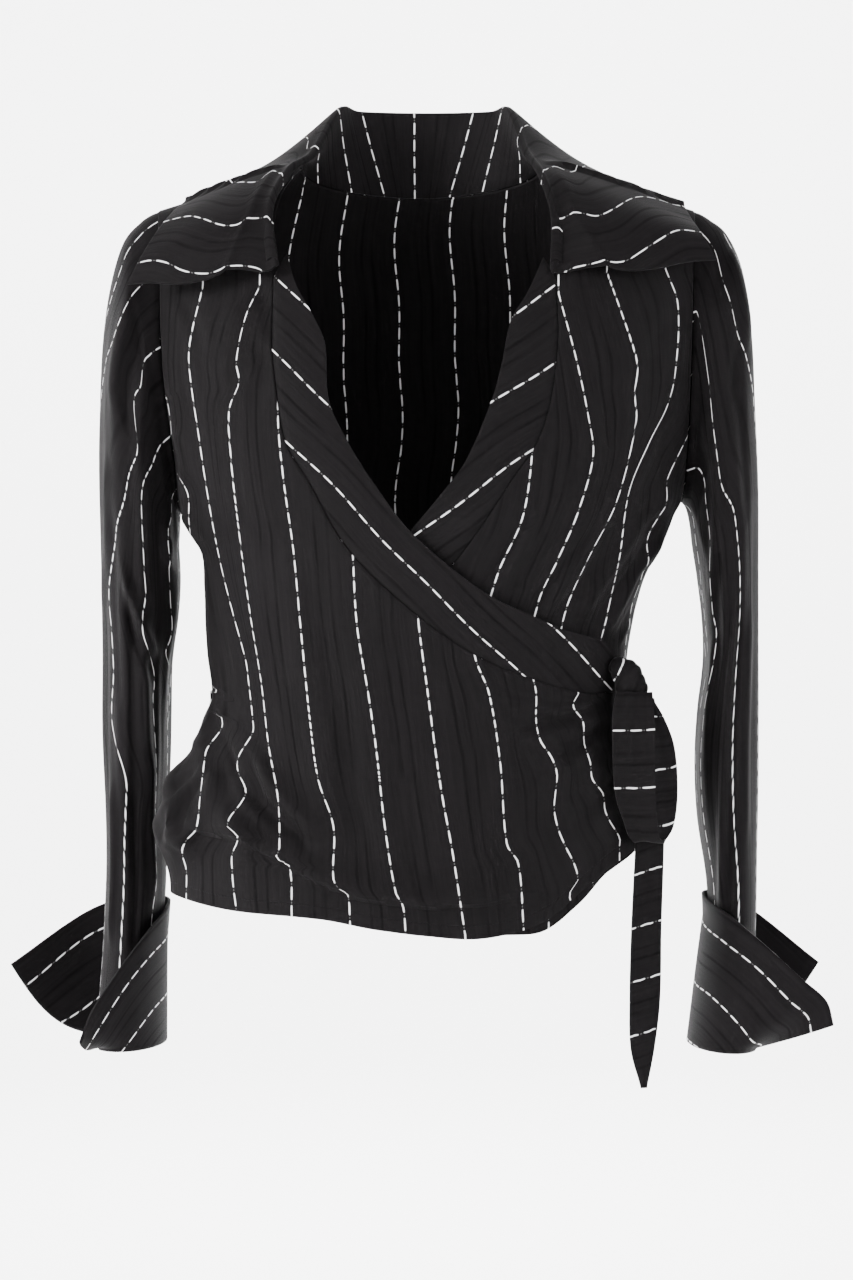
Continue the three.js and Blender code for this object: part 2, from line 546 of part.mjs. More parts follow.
// A front's band, between the panel's seam and the neck edge
function band(name, seamLine, edge, liftOf, color) {
  const edgeLine = lineThrough(edge);
  const across = 3;
  const outer = [];
  const inner = [];
  for (let row = 0; row <= bandRows; row += 1) {
    const t = row / bandRows;
    const seam = angleOf(seamLine(t));
    const rim = angleOf(edgeLine(t));
    const outerRow = [];
    const innerRow = [];
    for (let column = 0; column <= across; column += 1) {
      const [q, z] = [0, 1].map((k) => lerp(seam[k], rim[k], column / across));
      const { point, normal } = torso(q, z, liftOf(q, z, 1));
      outerRow.push(point);
      innerRow.push(point.clone().addScaledVector(normal, -cloth));
    }
    outer.push(outerRow);
    inner.push(innerRow);
  }
  insetEnds(outer, inner);
  return wall(name, outer, inner, color);
}
const bandRight = band("band_right", overSeamLine, overEdge, overLiftOf, "#1b1c1f");
const bandLeft = band("band_left", underSeamLine, underEdge, underLiftOf, "#1b1c1f");

// A sleeve. Its first ring is the armhole of the two panels, and its rings become its own sections.
function sleevePoint(rows, turn, row) {
  const table = columns(rows.map((r, index) => ({ ...r, index })), "index");
  const middle = [(table.outX(row) + table.inX(row)) / 2, (table.outZ(row) + table.inZ(row)) / 2];
  const arm = [(table.inX(row) - table.outX(row)) / 2, (table.inZ(row) - table.outZ(row)) / 2];
  const inward = Math.cos(turn * radians);
  return new THREE.Vector3(
    middle[0] + arm[0] * inward,
    table.midY(row) - table.deep(row) * Math.sin(turn * radians),
    middle[1] + arm[1] * inward,
  );
}

// How far a sleeve's folds raise it at an angle and row
function sleeveFold(folds, turn, row) {
  let height = 0;
  for (const fold of folds) {
    const t = clamp((row - fold.row0) / (fold.row1 - fold.row0), 0, 1);
    const away = ((turn - lerp(fold.turn0, fold.turn1, t) + 540) % 360) - 180;
    const past = Math.max(fold.row0 - row, row - fold.row1, 0) / 1.5;
    height += fold.high * Math.exp(-((away / fold.wide) ** 2) - past ** 2);
  }
  return height;
}

function sleeve(name, rows, folds, side, sign) {
  const ringCount = 2 * armRows;
  const armhole = [];
  for (let i = 0; i < ringCount; i += 1) {
    const isFront = i <= armRows;
    const [q, z] = side(sideRows + (isFront ? i : ringCount - i), isFront ? -1 : 1);
    armhole.push(torso(q, z, 0));
  }
  const grid = [];
  const inner = [];
  for (let row = 0; row < rows.length; row += 1) {
    const keep = 1 - smoothstep(row / 4);
    const centre = new THREE.Vector3();
    const ring = armhole.map(({ point }, i) => {
      const turn = i * 360 / ringCount;
      const plain = sleevePoint(rows, turn, row);
      const shift = point.clone().sub(sleevePoint(rows, turn, 0)).multiplyScalar(keep);
      centre.addScaledVector(plain, 1 / ringCount);
      return plain.add(shift);
    });
    grid.push(ring.map((point, i) => {
      const away = point.clone().sub(centre).setX((point.x - centre.x) * 2).normalize();
      const share = smoothstep(row / 3) * smoothstep((11 - row) / 2.5); // the folds die out inside the cuff
      return point.addScaledVector(away, sleeveFold(folds, i * 360 / ringCount, row) * share);
    }));
  }
  // At the underarm the sleeve starts outside the panels' wall, and elsewhere beyond the seam
  grid[0].forEach((point, i) => {
    const under = (1 + Math.cos(i * 2 * Math.PI / ringCount)) / 2;
    point.x += sign * (2 * seamInset + 1.9 * under ** 2);
  });
  for (let row = 0; row < grid.length; row += 1) {
    const before = grid[Math.max(row - 1, 0)];
    const after = grid[Math.min(row + 1, grid.length - 1)];
    inner.push(grid[row].map((point, i) => {
      const around = grid[row][(i + 1) % ringCount].clone().sub(grid[row][(i + ringCount - 1) % ringCount]);
      const normal = around.cross(after[i].clone().sub(before[i])).normalize().multiplyScalar(-sign);
      const seamNormal = armhole[i].normal.clone().lerp(normal, smoothstep(row / 2)).normalize();
      return point.clone().addScaledVector(row < 2 ? seamNormal : normal, -cloth);
    }));
  }
  return wall(name, grid, inner, black, true);
}
const sleeveLeft = sleeve("sleeve_left", leftSleeve, leftSleeveFolds, leftSide, 1);
const sleeveRight = sleeve("sleeve_right", rightSleeve, rightSleeveFolds, rightSide, -1);

// Moves a point outwards, level, until it is at least that far from the sleeve inside it
function clearOfSleeve(point, rows, gap) {
  const outZ = rows.map((r) => -r.outZ);
  const at = (key) => through(outZ, rows.map((r) => r[key]))(-point.z);
  const centreX = (at("outX") + at("inX")) / 2;
  const dx = point.x - centreX;
  const dy = point.y - at("midY");
  const angle = Math.atan2(dy, dx);
  const halfX = Math.abs(at("outX") - at("inX")) / 2;
  const radius = 1 / Math.hypot(Math.cos(angle) / (halfX + gap), Math.sin(angle) / (at("deep") + gap));
  const scale = Math.max(radius / Math.hypot(dx, dy), 1);
  point.x = centreX + dx * scale;
  point.y = at("midY") + dy * scale;
  return point;
}

// A cuff folded up from the sleeve's end, split at the outer side
function cuff(name, rows, sleeveRows, sign) {
  const line = lineThrough(rows.map((r) => [r.x, r.y, r.z, r.turn, r.bow, r.drop]));
  const lastRow = sleeveRows.length - 1;
  const centre = sleevePoint(sleeveRows, 0, lastRow).add(sleevePoint(sleeveRows, 180, lastRow)).multiplyScalar(0.5);
  const steps = { around: 20, up: 5 };
  const grid = [];
  for (let i = 0; i <= steps.around; i += 1) {
    const [x, y, z, turn, bow, drop] = line(i / steps.around);
    const foot = sleevePoint(sleeveRows, turn, lastRow);
    const out = foot.clone().sub(centre).setZ(0).normalize();
    foot.addScaledVector(out, cuffCloth + 1.9);
    const rim = new THREE.Vector3(x, y, z);
    grid.push([]);
    for (let j = 0; j <= steps.up; j += 1) {
      const v = j / steps.up;
      const point = foot.clone().lerp(rim, v).addScaledVector(out, bow * Math.sin(Math.PI * v));
      point.z -= drop * Math.sin(Math.PI * v);
      grid[i].push(clearOfSleeve(point, sleeveRows, cuffCloth + lerp(1.9, 2.2, Math.min(v * 3, 1))));
    }
  }
  return sheetWall(name, sign > 0 ? grid : grid.reverse(), cuffCloth, "#1a1a1d");
}
const cuffLeft = cuff("cuff_left", leftCuff, leftSleeve, 1);
const cuffRight = cuff("cuff_right", rightCuff, rightSleeve, -1);

// The collar: from the neck seam it stands up to the roll, then falls to its outer edge
function collar() {
  const table = columns(collarStations, "at");
  const stationCount = 2 * neckRows + backColumns.neck;
  const grid = [];
  for (let i = 0; i <= stationCount; i += 1) {
    const fromEnd = Math.min(i, stationCount - i);
    const isRight = i <= stationCount / 2;
    let seam = [0, 0];
    if (fromEnd <= neckRows) {
      seam = (isRight ? overOpening : underOpening)(hiddenRows + bandRows + fromEnd);
    } else {
      seam = backTop((backColumns.shoulder + i - neckRows) / backColumnCount);
    }
    const { point: foot, normal } = torso(seam[0], seam[1], 0);
    const neckward = new THREE.Vector3(-foot.x, 20 - foot.y, 0).normalize();
    foot.addScaledVector(normal, 0.2).addScaledVector(neckward, 0.5).setZ(foot.z + 0.1);
    const at = i / stationCount;
    const roll = new THREE.Vector3(table.rollX(at), table.rollY(at), table.rollZ(at));
    const out = new THREE.Vector3(table.outX(at), table.outY(at), table.outZ(at));
    const away = out.clone().sub(roll).setZ(0).normalize();
    const standShare = smoothstep(fromEnd / neckRows);
    const start = roll.clone().addScaledVector(away, 7);
    start.z -= 4;
    start.lerp(foot, standShare);
    const profile = [
      start,
      start.clone().lerp(roll, 0.55).addScaledVector(away, 0.5),
      roll.clone().addScaledVector(away, -0.6).add(new THREE.Vector3(0, 0, -3)),
      roll.clone().addScaledVector(away, 2.6).add(new THREE.Vector3(0, 0, 0.6)),
      roll.clone().addScaledVector(away, 8).add(new THREE.Vector3(0, 0, -2.4)),
    ];
    const fallSteps = 6;
    for (let k = 1; k <= fallSteps; k += 1) {
      const share = k / fallSteps;
      const point = profile[4].clone().lerp(out, share);
      const swell = Math.sin(Math.PI * share ** 0.8);
      point.add(new THREE.Vector3(0, -table.ahead(at) * swell, table.rise(at) * swell));
      profile.push(clearOfBody(point, 4.6));
    }
    grid.push(profile);
  }
  return sheetWall("collar", grid.reverse(), cloth, "#1c1d20");
}

// Moves a point outwards, square to the shoulders' and chest's surface, until it is that far off
function clearOfBody(point, gap) {
  const level = (p) => {
    const depth = (p.y < 0 ? sections.front : sections.back)(p.z);
    const across = Math.min(Math.abs(p.x) / halfWidth(p.x, p.z), 1) ** sectionPower;
    const short = Math.max(1 - (shoulderHeight(p.x) - p.z) / shoulderRound, 0);
    const roundPart = Math.sqrt(Math.max(1 - short ** 2, 0));
    return short >= 1 ? p.z - shoulderHeight(p.x) : Math.abs(p.y) - depth * (1 - across) ** (1 / sectionPower) * roundPart;
  };
  for (let step = 0; step < 60 && level(point) < gap; step += 1) {
    const below = clamp((shoulderHeight(point.x) - point.z + gap) / shoulderRound, 0, 1);
    point.z += 0.5 * (1 - below);
    point.y += 0.5 * (point.y < 0 ? -1 : 1) * Math.sqrt(below);
  }
  return point;
}

// The tie's stretch round the back waist
function backTie() {
  const steps = 30;
  const outer = [];
  const inner = [];
  const height = through([0, 0.5, 1], [tieBack.startZ, tieBack.midZ, tieBack.endZ]);
  for (let i = 0; i <= steps; i += 1) {
    const t = i / steps;
    const q = lerp(tieBack.startQ, tieBack.endQ - 360, t);
    const half = tieBack.half * (1 - 0.3 * smoothstep((t - 0.9) / 0.1));
    const rows = [-1, -0.33, 0.33, 1].map((k) => {
      const z = height(t) + k * half;
      return torso(q, z, tieBack.lift);
    });
    outer.push(rows.map(({ point }) => point));
    inner.push(rows.map(({ point, normal }) => point.clone().addScaledVector(normal, -cloth)));
  }
  return wall("tie_back", outer, inner, "#1d1e21");
}

// A ribbon of the tie along a line of centres, its width across the view from the side and the front
function ribbon(name, rows, steps, facing) {
  const line = lineThrough(rows.map((r) => [r.x, r.y, r.z, r.half]));
  const grid = [];
  for (let i = 0; i <= steps; i += 1) {
    const [x, y, z, half] = line(i / steps);
    const centre = new THREE.Vector3(x, y, z);
    grid.push([-1, 0, 1].map((k) => centre.clone().addScaledVector(facing, half * k)));
  }
  return sheetWall(name, grid, cloth, "#1d1e21");
}

// The knot: a rounded lump along a slanted line, ridged where the tie is wrapped over itself
function knotLump() {
  const geometry = new THREE.SphereGeometry(1, 14, 10);
  const places = geometry.getAttribute("position");
  const [cos, sin] = [Math.cos(knot.slant * radians), Math.sin(knot.slant * radians)];
  for (let i = 0; i < places.count; i += 1) {
    const [across, deep, long] = [places.getX(i), places.getZ(i), places.getY(i)];
    const ridge = 1 + 0.08 * Math.cos(6 * long + 2 * across);
    const [u, v] = [long * knot.halfLong, across * knot.halfWide * ridge];
    places.setXYZ(i, knot.x + u * cos - v * sin, knot.y - knot.halfDeep * deep * ridge, knot.z + u * sin + v * cos);
  }
  const faces = Array.from(geometry.index.array);
  const mesh = new THREE.Mesh(geometry, new THREE.MeshStandardMaterial({ color: "#1d1e21", roughness: 0.72 }));
  geometry.setIndex(volumeOf(places.array, faces) < 0 ? faces.reverse() : faces);
  geometry.computeVertexNormals();
  mesh.name = "tie_knot";
  return mesh;
}

const wrapTop = new THREE.Group();
wrapTop.add(
  back, frontRight, frontLeft, bandRight, bandLeft, collar(), sleeveRight, sleeveLeft, cuffRight, cuffLeft,
  backTie(), knotLump(),
  ribbon("tie_loop", tieLoop, 22, new THREE.Vector3(0.97, 0.24, 0).normalize()),
  ribbon("tie_tail", tieTail, 16, new THREE.Vector3(0.96, 0.28, 0).normalize()),
);

export default wrapTop;
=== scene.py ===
# A long-sleeved wrap top in dark striped cloth, in the hollow form it has when worn.
# Tables are in millimetres, +X to the wearer's left, -Y to the front and +Z up. Angles q run round the
# torso in degrees: 0 is the front, 90 the wearer's left side and 180 the back.
import math

import bpy
import numpy as np
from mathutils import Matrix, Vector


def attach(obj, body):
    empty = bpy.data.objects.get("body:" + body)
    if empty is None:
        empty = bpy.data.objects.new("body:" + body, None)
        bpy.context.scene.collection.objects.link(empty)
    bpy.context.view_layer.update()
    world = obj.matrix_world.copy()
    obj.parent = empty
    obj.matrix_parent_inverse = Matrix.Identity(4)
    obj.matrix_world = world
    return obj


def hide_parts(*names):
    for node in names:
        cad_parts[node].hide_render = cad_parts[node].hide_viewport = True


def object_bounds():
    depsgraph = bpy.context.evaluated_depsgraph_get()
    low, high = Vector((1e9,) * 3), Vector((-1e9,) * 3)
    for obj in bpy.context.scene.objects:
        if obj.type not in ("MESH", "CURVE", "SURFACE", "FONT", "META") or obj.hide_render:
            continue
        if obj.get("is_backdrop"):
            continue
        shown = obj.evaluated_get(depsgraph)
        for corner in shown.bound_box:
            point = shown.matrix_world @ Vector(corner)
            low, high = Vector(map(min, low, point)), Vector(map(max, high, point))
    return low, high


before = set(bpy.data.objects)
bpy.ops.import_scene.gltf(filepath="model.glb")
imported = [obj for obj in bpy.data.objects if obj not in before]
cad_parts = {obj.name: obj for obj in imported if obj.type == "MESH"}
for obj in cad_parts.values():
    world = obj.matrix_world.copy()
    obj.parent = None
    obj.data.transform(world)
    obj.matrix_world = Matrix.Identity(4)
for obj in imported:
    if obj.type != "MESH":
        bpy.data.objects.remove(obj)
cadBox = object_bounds()
print("frame loaded:", len(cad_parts), "pieces")

millimetre = 0.001
fineness = 7  # grid steps for each step of the maker's rows

eye = {"distance": 2200, "height": -327.6, "lens": 85.94}

torsoCut = {
    "power": 2.3,  # superellipse power of each section
    "shoulder": (193, -19),
    "slope": 0.3025,  # fall of the shoulder line per mm of width
    "round": 120,  # how far below the shoulder line the chest reaches its full depth
    "perDegree": 2.1,  # mm round the torso per degree
    # height, half widths on the right and left, half depths in front and behind
    "sections": [
        (-560, 184, 158, 120, 108), (-505, 183, 157, 120, 108), (-470, 178, 153, 117, 100),
        (-440, 171, 149, 113, 92), (-410, 162, 146, 109, 85), (-380, 152, 143, 106, 80),
        (-350, 152, 143, 108, 80), (-320, 154, 147, 112, 84), (-290, 155, 154, 117, 90),
        (-262, 158, 166, 121, 95), (-240, 173, 176, 124, 99), (-228, 180, 183, 124, 101),
        (-200, 187, 190, 121, 104), (-160, 198, 199, 114, 105), (-120, 205, 206, 106, 104),
        (-60, 212, 212, 92, 96), (-16, 214, 214, 80, 88), (45, 214, 214, 70, 80),
    ],
}


def through(places, values):
    # a smooth curve through values at places: cubics whose slopes are the neighbours' chords
    places, values = np.asarray(places, float), np.asarray(values, float)
    last = len(places) - 1
    before = np.maximum(np.arange(last + 1) - 1, 0)
    after = np.minimum(np.arange(last + 1) + 1, last)
    spread = (places[after] - places[before]).reshape((-1,) + (1,) * (values.ndim - 1))
    slopes = (values[after] - values[before]) / spread

    def curve(at):
        at = np.clip(np.asarray(at, float), places[0], places[-1])
        i = np.clip(np.searchsorted(places, at, side="left") - 1, 0, last - 1)
        step = places[i + 1] - places[i]
        t = (at - places[i]) / step
        step, t = (part.reshape(part.shape + (1,) * (values.ndim - 1)) for part in (step, t))
        return ((2 * t ** 3 - 3 * t ** 2 + 1) * values[i] + (t ** 3 - 2 * t ** 2 + t) * step * slopes[i]
                + (3 * t ** 2 - 2 * t ** 3) * values[i + 1] + (t ** 3 - t ** 2) * step * slopes[i + 1])
    return curve


def lineThrough(points):
    # a smooth line through points, at 0 at the first and at 1 at the last, by length along the chords
    points = np.asarray(points, float)
    along = np.concatenate([[0], np.cumsum(np.linalg.norm(np.diff(points, axis=0), axis=1))])
    return through(along / along[-1], points)


def smooth(t):
    # rises from 0 to 1 as 3t^2 - 2t^3
    t = np.clip(t, 0, 1)
    return t * t * (3 - 2 * t)


def unit(vectors):
    return vectors / np.maximum(np.linalg.norm(vectors, axis=-1, keepdims=True), 1e-9)


torsoTable = np.array(torsoCut["sections"], float)
rightWidth, leftWidth, frontDepth, backDepth = (through(torsoTable[:, 0], torsoTable[:, k])
                                                for k in (1, 2, 3, 4))


def shoulderHeight(x):
    return torsoCut["shoulder"][1] + (torsoCut["shoulder"][0] - np.abs(x)) * torsoCut["slope"]


def halfWidth(x, z):
    return np.where(np.asarray(x) < 0, rightWidth(z), leftWidth(z))


def angleOf(x, z):
    # the angle of a point of the front: sin q is the share of the half width, raised to half the power
    share = np.minimum(np.abs(x) / halfWidth(x, z), 1)
    return np.degrees(np.sign(x) * np.arcsin(share ** (torsoCut["power"] / 2)))


def torso(q, z, lift):
    # the superellipse |x/width|^p + |y/depth|^p = 1 of that height, rounded over at the shoulders,
    # and moved out by lift along its own normal
    power = torsoCut["power"]
    q, z = np.broadcast_arrays(np.asarray(q, float), np.asarray(z, float))
    side, facing = np.sin(np.radians(q)), np.cos(np.radians(q))
    isFront = facing >= 0
    sign = np.where(isFront, -1.0, 1.0)
    def depthAt(height):
        return np.where(isFront, frontDepth(height), backDepth(height))
    def widthAt(height):
        return np.where(side < 0, rightWidth(height), leftWidth(height))
    width, depth = widthAt(z), depthAt(z)
    across = np.abs(side) ** (2 / power)
    x = np.sign(side) * width * across
    below = np.clip((shoulderHeight(x) - z) / torsoCut["round"], 0, 1)
    roundOver = np.sqrt(1 - (1 - below) ** 2)
    fullness = np.maximum(1 - across ** power, 0)
    turn = fullness ** (1 / power)
    top = fullness * (1 - below) / torsoCut["round"]
    widthSlope = (widthAt(z + 1) - widthAt(z - 1)) / 2 / width
    depthSlope = (depthAt(z + 1) - depthAt(z - 1)) / 2 / depth
    normal = unit(np.stack([
        np.sign(side) * (across ** (power - 1) / width * roundOver ** 2 + top * torsoCut["slope"]),
        sign * turn ** (power - 1) * roundOver / depth,
        top - roundOver ** 2 * (across ** power * widthSlope + fullness * depthSlope),
    ], axis=-1))
    surface = np.stack([x, sign * depth * turn * roundOver, z], axis=-1)
    return surface + normal * np.asarray(lift)[..., None], normal


def foldHeight(folds, q, z):
    # adds up soft ridges: high * exp(-(distance / wide)^2) from a line bowed sideways between two points,
    # leaning to one side as real folds do
    height = np.zeros(np.broadcast(q, z).shape)
    for q0, z0, q1, z1, bow, wide, high0, high1 in folds:
        alongQ, alongZ = (q1 - q0) * torsoCut["perDegree"], z1 - z0
        length = math.hypot(alongQ, alongZ)
        dq, dz = ((q - q0 + 540) % 360 - 180) * torsoCut["perDegree"], z - z0
        run = (dq * alongQ + dz * alongZ) / length
        t = np.clip(run / length, 0, 1)
        side = (dq * alongZ - dz * alongQ) / length - 4 * bow * t * (1 - t)
        past = np.maximum(np.maximum(-run, run - length), 0)
        height += (high0 + (high1 - high0) * t) * np.exp(-(side ** 2 + past ** 2) / wide ** 2)
    return height


def nearLine(line, x, z):
    # the distance from a smooth line, to its left positive, and the share of the way along it
    line = lineThrough(line)(np.linspace(0, 1, 5 * len(line)))
    start, step = line[:-1], np.diff(line, axis=0)
    dx, dz = x[..., None] - start[:, 0], z[..., None] - start[:, 1]
    share = np.clip((dx * step[:, 0] + dz * step[:, 1]) / (step ** 2).sum(axis=1), 0, 1)
    away = np.hypot(dx - share * step[:, 0], dz - share * step[:, 1])
    nearest = np.argmin(away, axis=-1)[..., None]
    away, share, left = (np.take_along_axis(part, nearest, -1)[..., 0]
                         for part in (away, share, step[:, 0] * dz - step[:, 1] * dx))
    return away * np.sign(left), (nearest[..., 0] + share) / len(step)


def lineHeight(creases, x, z):
    # adds up ridges and troughs high * exp(-(distance / wide)^2) along the lines, which taper at their ends
    height = np.zeros(x.shape)
    for line, wide, high0, high1 in creases:
        away, t = nearLine(line, x, z)
        taper = np.minimum(smooth(t / 0.25 + 0.25), smooth((1 - t) / 0.25 + 0.25))
        height += (high0 + (high1 - high0) * t) * taper * np.exp(-(away / wide) ** 2)
    return height


def overhangHeight(x, z):
    # cloth above the line stands out, and stops short at it
    away, t = nearLine(overhang["line"], x, z)
    share = smooth(t / 0.12) * smooth((1 - t) / 0.3) * smooth((away + overhang["sharp"]) / overhang["sharp"])
    return overhang["high"] * share * np.exp(-(np.maximum(away, 0) / overhang["wide"]) ** 2)


def seenFromFront(points):
    # where a point shows from the camera, carried to the plane through the shoulders, as x and z
    scale = eye["distance"] / (eye["distance"] + points[..., 1])
    return points[..., 0] * scale, eye["height"] + (points[..., 2] - eye["height"]) * scale


def alongRows(points, axis):
    # length along a grid's rows or columns, added up over its chords
    steps = np.linalg.norm(np.diff(points, axis=axis), axis=2)
    return np.insert(np.cumsum(steps, axis=axis), 0, 0, axis=axis)


stripes = {
    "pitch": 42,  # from one pale line to the next
    "dash": 12.6,  # from one dash to the next
    "sway": 2.2,  # how far the lines wander on cloth that the front view doesn't show
}


def sway(along, phase=0.0):
    # the woven lines aren't straight: two slow waves added
    return stripes["sway"] * (np.sin(along / 34 + phase) + 0.6 * np.sin(along / 15.5 + 2.3 * phase + 1))


def crossing(around, offsets):
    # the length at which each row crosses a line, where offsets, the distances from it, change sign;
    # a line beyond a row's end is as far outside as the offset there
    column = np.clip(np.argmax(offsets > 0, axis=1), 1, None)[:, None]
    before, after = (np.take_along_axis(offsets, column - k, 1) for k in (1, 0))
    start, end = (np.take_along_axis(around, column - k, 1) for k in (1, 0))
    met = start + (end - start) * np.clip(-before / np.maximum(after - before, 1e-6), 0, 1)
    met = np.where(offsets[:, :1] > 0, around[:, :1] - offsets[:, :1], met)
    return np.where(offsets[:, -1:] <= 0, around[:, -1:] - offsets[:, -1:], met)


def acrossStripes(around, crossings):
    # the cloth's crosswise length, a whole pitch at each line: true to size beside the lines, and between
    # them P(3s^2 - 2s^3) + G(2s^3 - 3s^2 + s), for the pitch P, the gap G and the share s of the way
    pitch = stripes["pitch"]
    across = np.minimum(around - crossings[0], 0)
    for low, high in zip(crossings[:-1], crossings[1:]):
        gap = np.maximum(high - low, 6)
        share = np.clip((around - low) / gap, 0, 1)
        across = across + pitch * smooth(share) + gap * (2 * share ** 3 - 3 * share ** 2 + share)
    return across + np.maximum(around - crossings[-1], 0)


def lineAt(line, along):
    # a line's crosswise place at each place along, from pairs of crosswise and lengthwise places
    line = sorted(line, key=lambda place: place[1])
    return through([place for _, place in line], [across for across, _ in line])(along)


def frontUV(points, lines, flip):
    # the pale lines lie where the front view shows them
    around = alongRows(points, 1)
    seenX, seenZ = seenFromFront(points)
    if flip:
        around, seenX, seenZ = around[:, -1:] - around[:, ::-1], seenX[:, ::-1], seenZ[:, ::-1]
    across = acrossStripes(around, [crossing(around, seenX - lineAt(line, seenZ)) for line in lines])
    return np.stack([across[:, ::-1] if flip else across, alongRows(points, 0)], axis=-1)


def newObject(name, points, faces, material):
    # a smooth-shaded object at the origin, with points in metres
    mesh = bpy.data.meshes.new(name)
    mesh.from_pydata(points.reshape(-1, 3).tolist(), [], faces.tolist())
    mesh.polygons.foreach_set("use_smooth", np.ones(len(faces), bool))
    mesh.materials.append(material)
    made = bpy.data.objects.new(name, mesh)
    bpy.context.scene.collection.objects.link(made)
    return made


def ringFaces(rows, columns):
    # the faces of a grid whose rows close on themselves
    index = np.arange(rows * columns).reshape(rows, columns)
    after = np.roll(index, -1, axis=1)
    return np.stack([index[:-1], after[:-1], after[1:], index[1:]], axis=-1).reshape(-1, 4)


def addNumbers(mesh, label, values):
    # a number at each point, which the material reads by its label
    attribute = mesh.attributes.new(label, "FLOAT", "POINT")
    attribute.data.foreach_set("value", values.astype(np.float32).ravel())


def declare(piece, nodes):
    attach(piece, "root")
    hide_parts(*nodes)


def addPiece(name, nodes, grid, uv, settings, flip=False, edge=None, stitch=None):
    # puts a grid of points into a mesh as the cloth's outer side, then gives it its thickness
    rows, columns = grid.shape[:2]
    index = np.arange(rows * columns).reshape(rows, columns)
    faces = np.stack([index[:-1, :-1], index[:-1, 1:], index[1:, 1:], index[1:, :-1]], axis=-1).reshape(-1, 4)
    uvFaces = np.stack([uv[:-1, :-1], uv[:-1, 1:], uv[1:, 1:], uv[1:, :-1]], axis=2).reshape(-1, 4, 2)
    if flip:
        faces, uvFaces = faces[:, ::-1], uvFaces[:, ::-1]
    piece = newObject(name, grid * millimetre, faces, stripedCloth)
    layer = piece.data.uv_layers.new(name="cloth")
    layer.data.foreach_set("uv", (uvFaces * millimetre).astype(np.float32).ravel())
    for label, values in (("edge", edge), ("stitch", stitch)):
        addNumbers(piece.data, label, np.full((rows, columns), 99.0) if values is None else values)
    shell = piece.modifiers.new("thickness", "SOLIDIFY")
    shell.thickness, shell.offset = settings["thick"] * millimetre, -1
    rim = piece.modifiers.new("edges", "BEVEL")
    rim.width, rim.segments = settings["thick"] * 0.3 * millimetre, 2
    rim.limit_method, rim.angle_limit = "ANGLE", math.radians(55)
    declare(piece, nodes)
    steps = np.linalg.norm(np.cross(grid[1:, 1:] - grid[:-1, :-1], grid[1:, :-1] - grid[:-1, 1:]), axis=2)
    size = [round(float(alongRows(grid, axis).max())) for axis in (1, 0)]
    area = round(float(steps.sum()) / 2e6, 4)
    print("made", name, len(faces), "faces,", size, "mm,", area, "square metres")
    return piece


class Value:
    # a number or colour on its way through a material, so that sums of nodes read as sums
    def __init__(self, nodes, socket):
        self.nodes, self.socket = nodes, socket

    def maths(self, operation, *values):
        return self.nodes.add("ShaderNodeMath", {"operation": operation}, dict(enumerate(values)))

    def __add__(self, other):
        return self.maths("ADD", self, other)

    def __sub__(self, other):
        return self.maths("SUBTRACT", self, other)

    def __rsub__(self, other):
        return self.maths("SUBTRACT", other, self)

    def __mul__(self, other):
        return self.maths("MULTIPLY", self, other)

    def __truediv__(self, other):
        return self.maths("DIVIDE", self, other)

    def __pow__(self, other):
        return self.maths("POWER", self, other)

    __radd__ = __add__
    __rmul__ = __mul__

    def of(self, operation, *others):
        return self.maths(operation, self, *others)

    def clamped(self):
        return self.nodes.add("ShaderNodeClamp", {}, {0: self})


class Nodes:
    # adds nodes to a material: settings first, then the values or links of the sockets
    def __init__(self, name):
        self.material = bpy.data.materials.new(name)
        self.material.use_nodes = True
        self.tree = self.material.node_tree
        self.tree.nodes.clear()

    def add(self, kind, settings, inputs, output=0):
        node = self.tree.nodes.new(kind)
        for key, value in settings.items():
            setattr(node, key, value)
        for key, value in inputs.items():
            if isinstance(value, Value):
                self.tree.links.new(value.socket, node.inputs[key])
            else:
                node.inputs[key].default_value = value
        return Value(self, node.outputs[output]) if len(node.outputs) else None

    def mixed(self, factor, one, other):
        return self.add("ShaderNodeMix", {"data_type": "RGBA"}, {0: factor, 6: one, 7: other}, output=2)

    def vector(self, x, y, z=0.0):
        return self.add("ShaderNodeCombineXYZ", {}, {0: x, 1: y, 2: z})


clothLook = {
    "black": (0.0037, 0.0032, 0.0035, 1),
    # painted sheen and wear: the colour that streaks along the grain and rubbed edges are lightened towards
    "worn": (0.0074, 0.0065, 0.0070, 1),  # where the crepe's grain catches light
    "thread": (0.80, 0.79, 0.80, 1),
    "tone": (0.0012, 0.0011, 0.0012, 1),  # the pairs of dark lines between the pale ones
    "dashWide": 0.00058,  # half the width of a dash, in metres
    "dashSoft": 0.00032,  # over which its edge fades
    "dashShare": 0.74,  # of the way from one dash to the next
    "toneWide": 0.0009,
    "toneApart": 0.0041,
    "warp": 0.00062,  # from one thread to the next, across and along
    "weft": 0.00058,
}


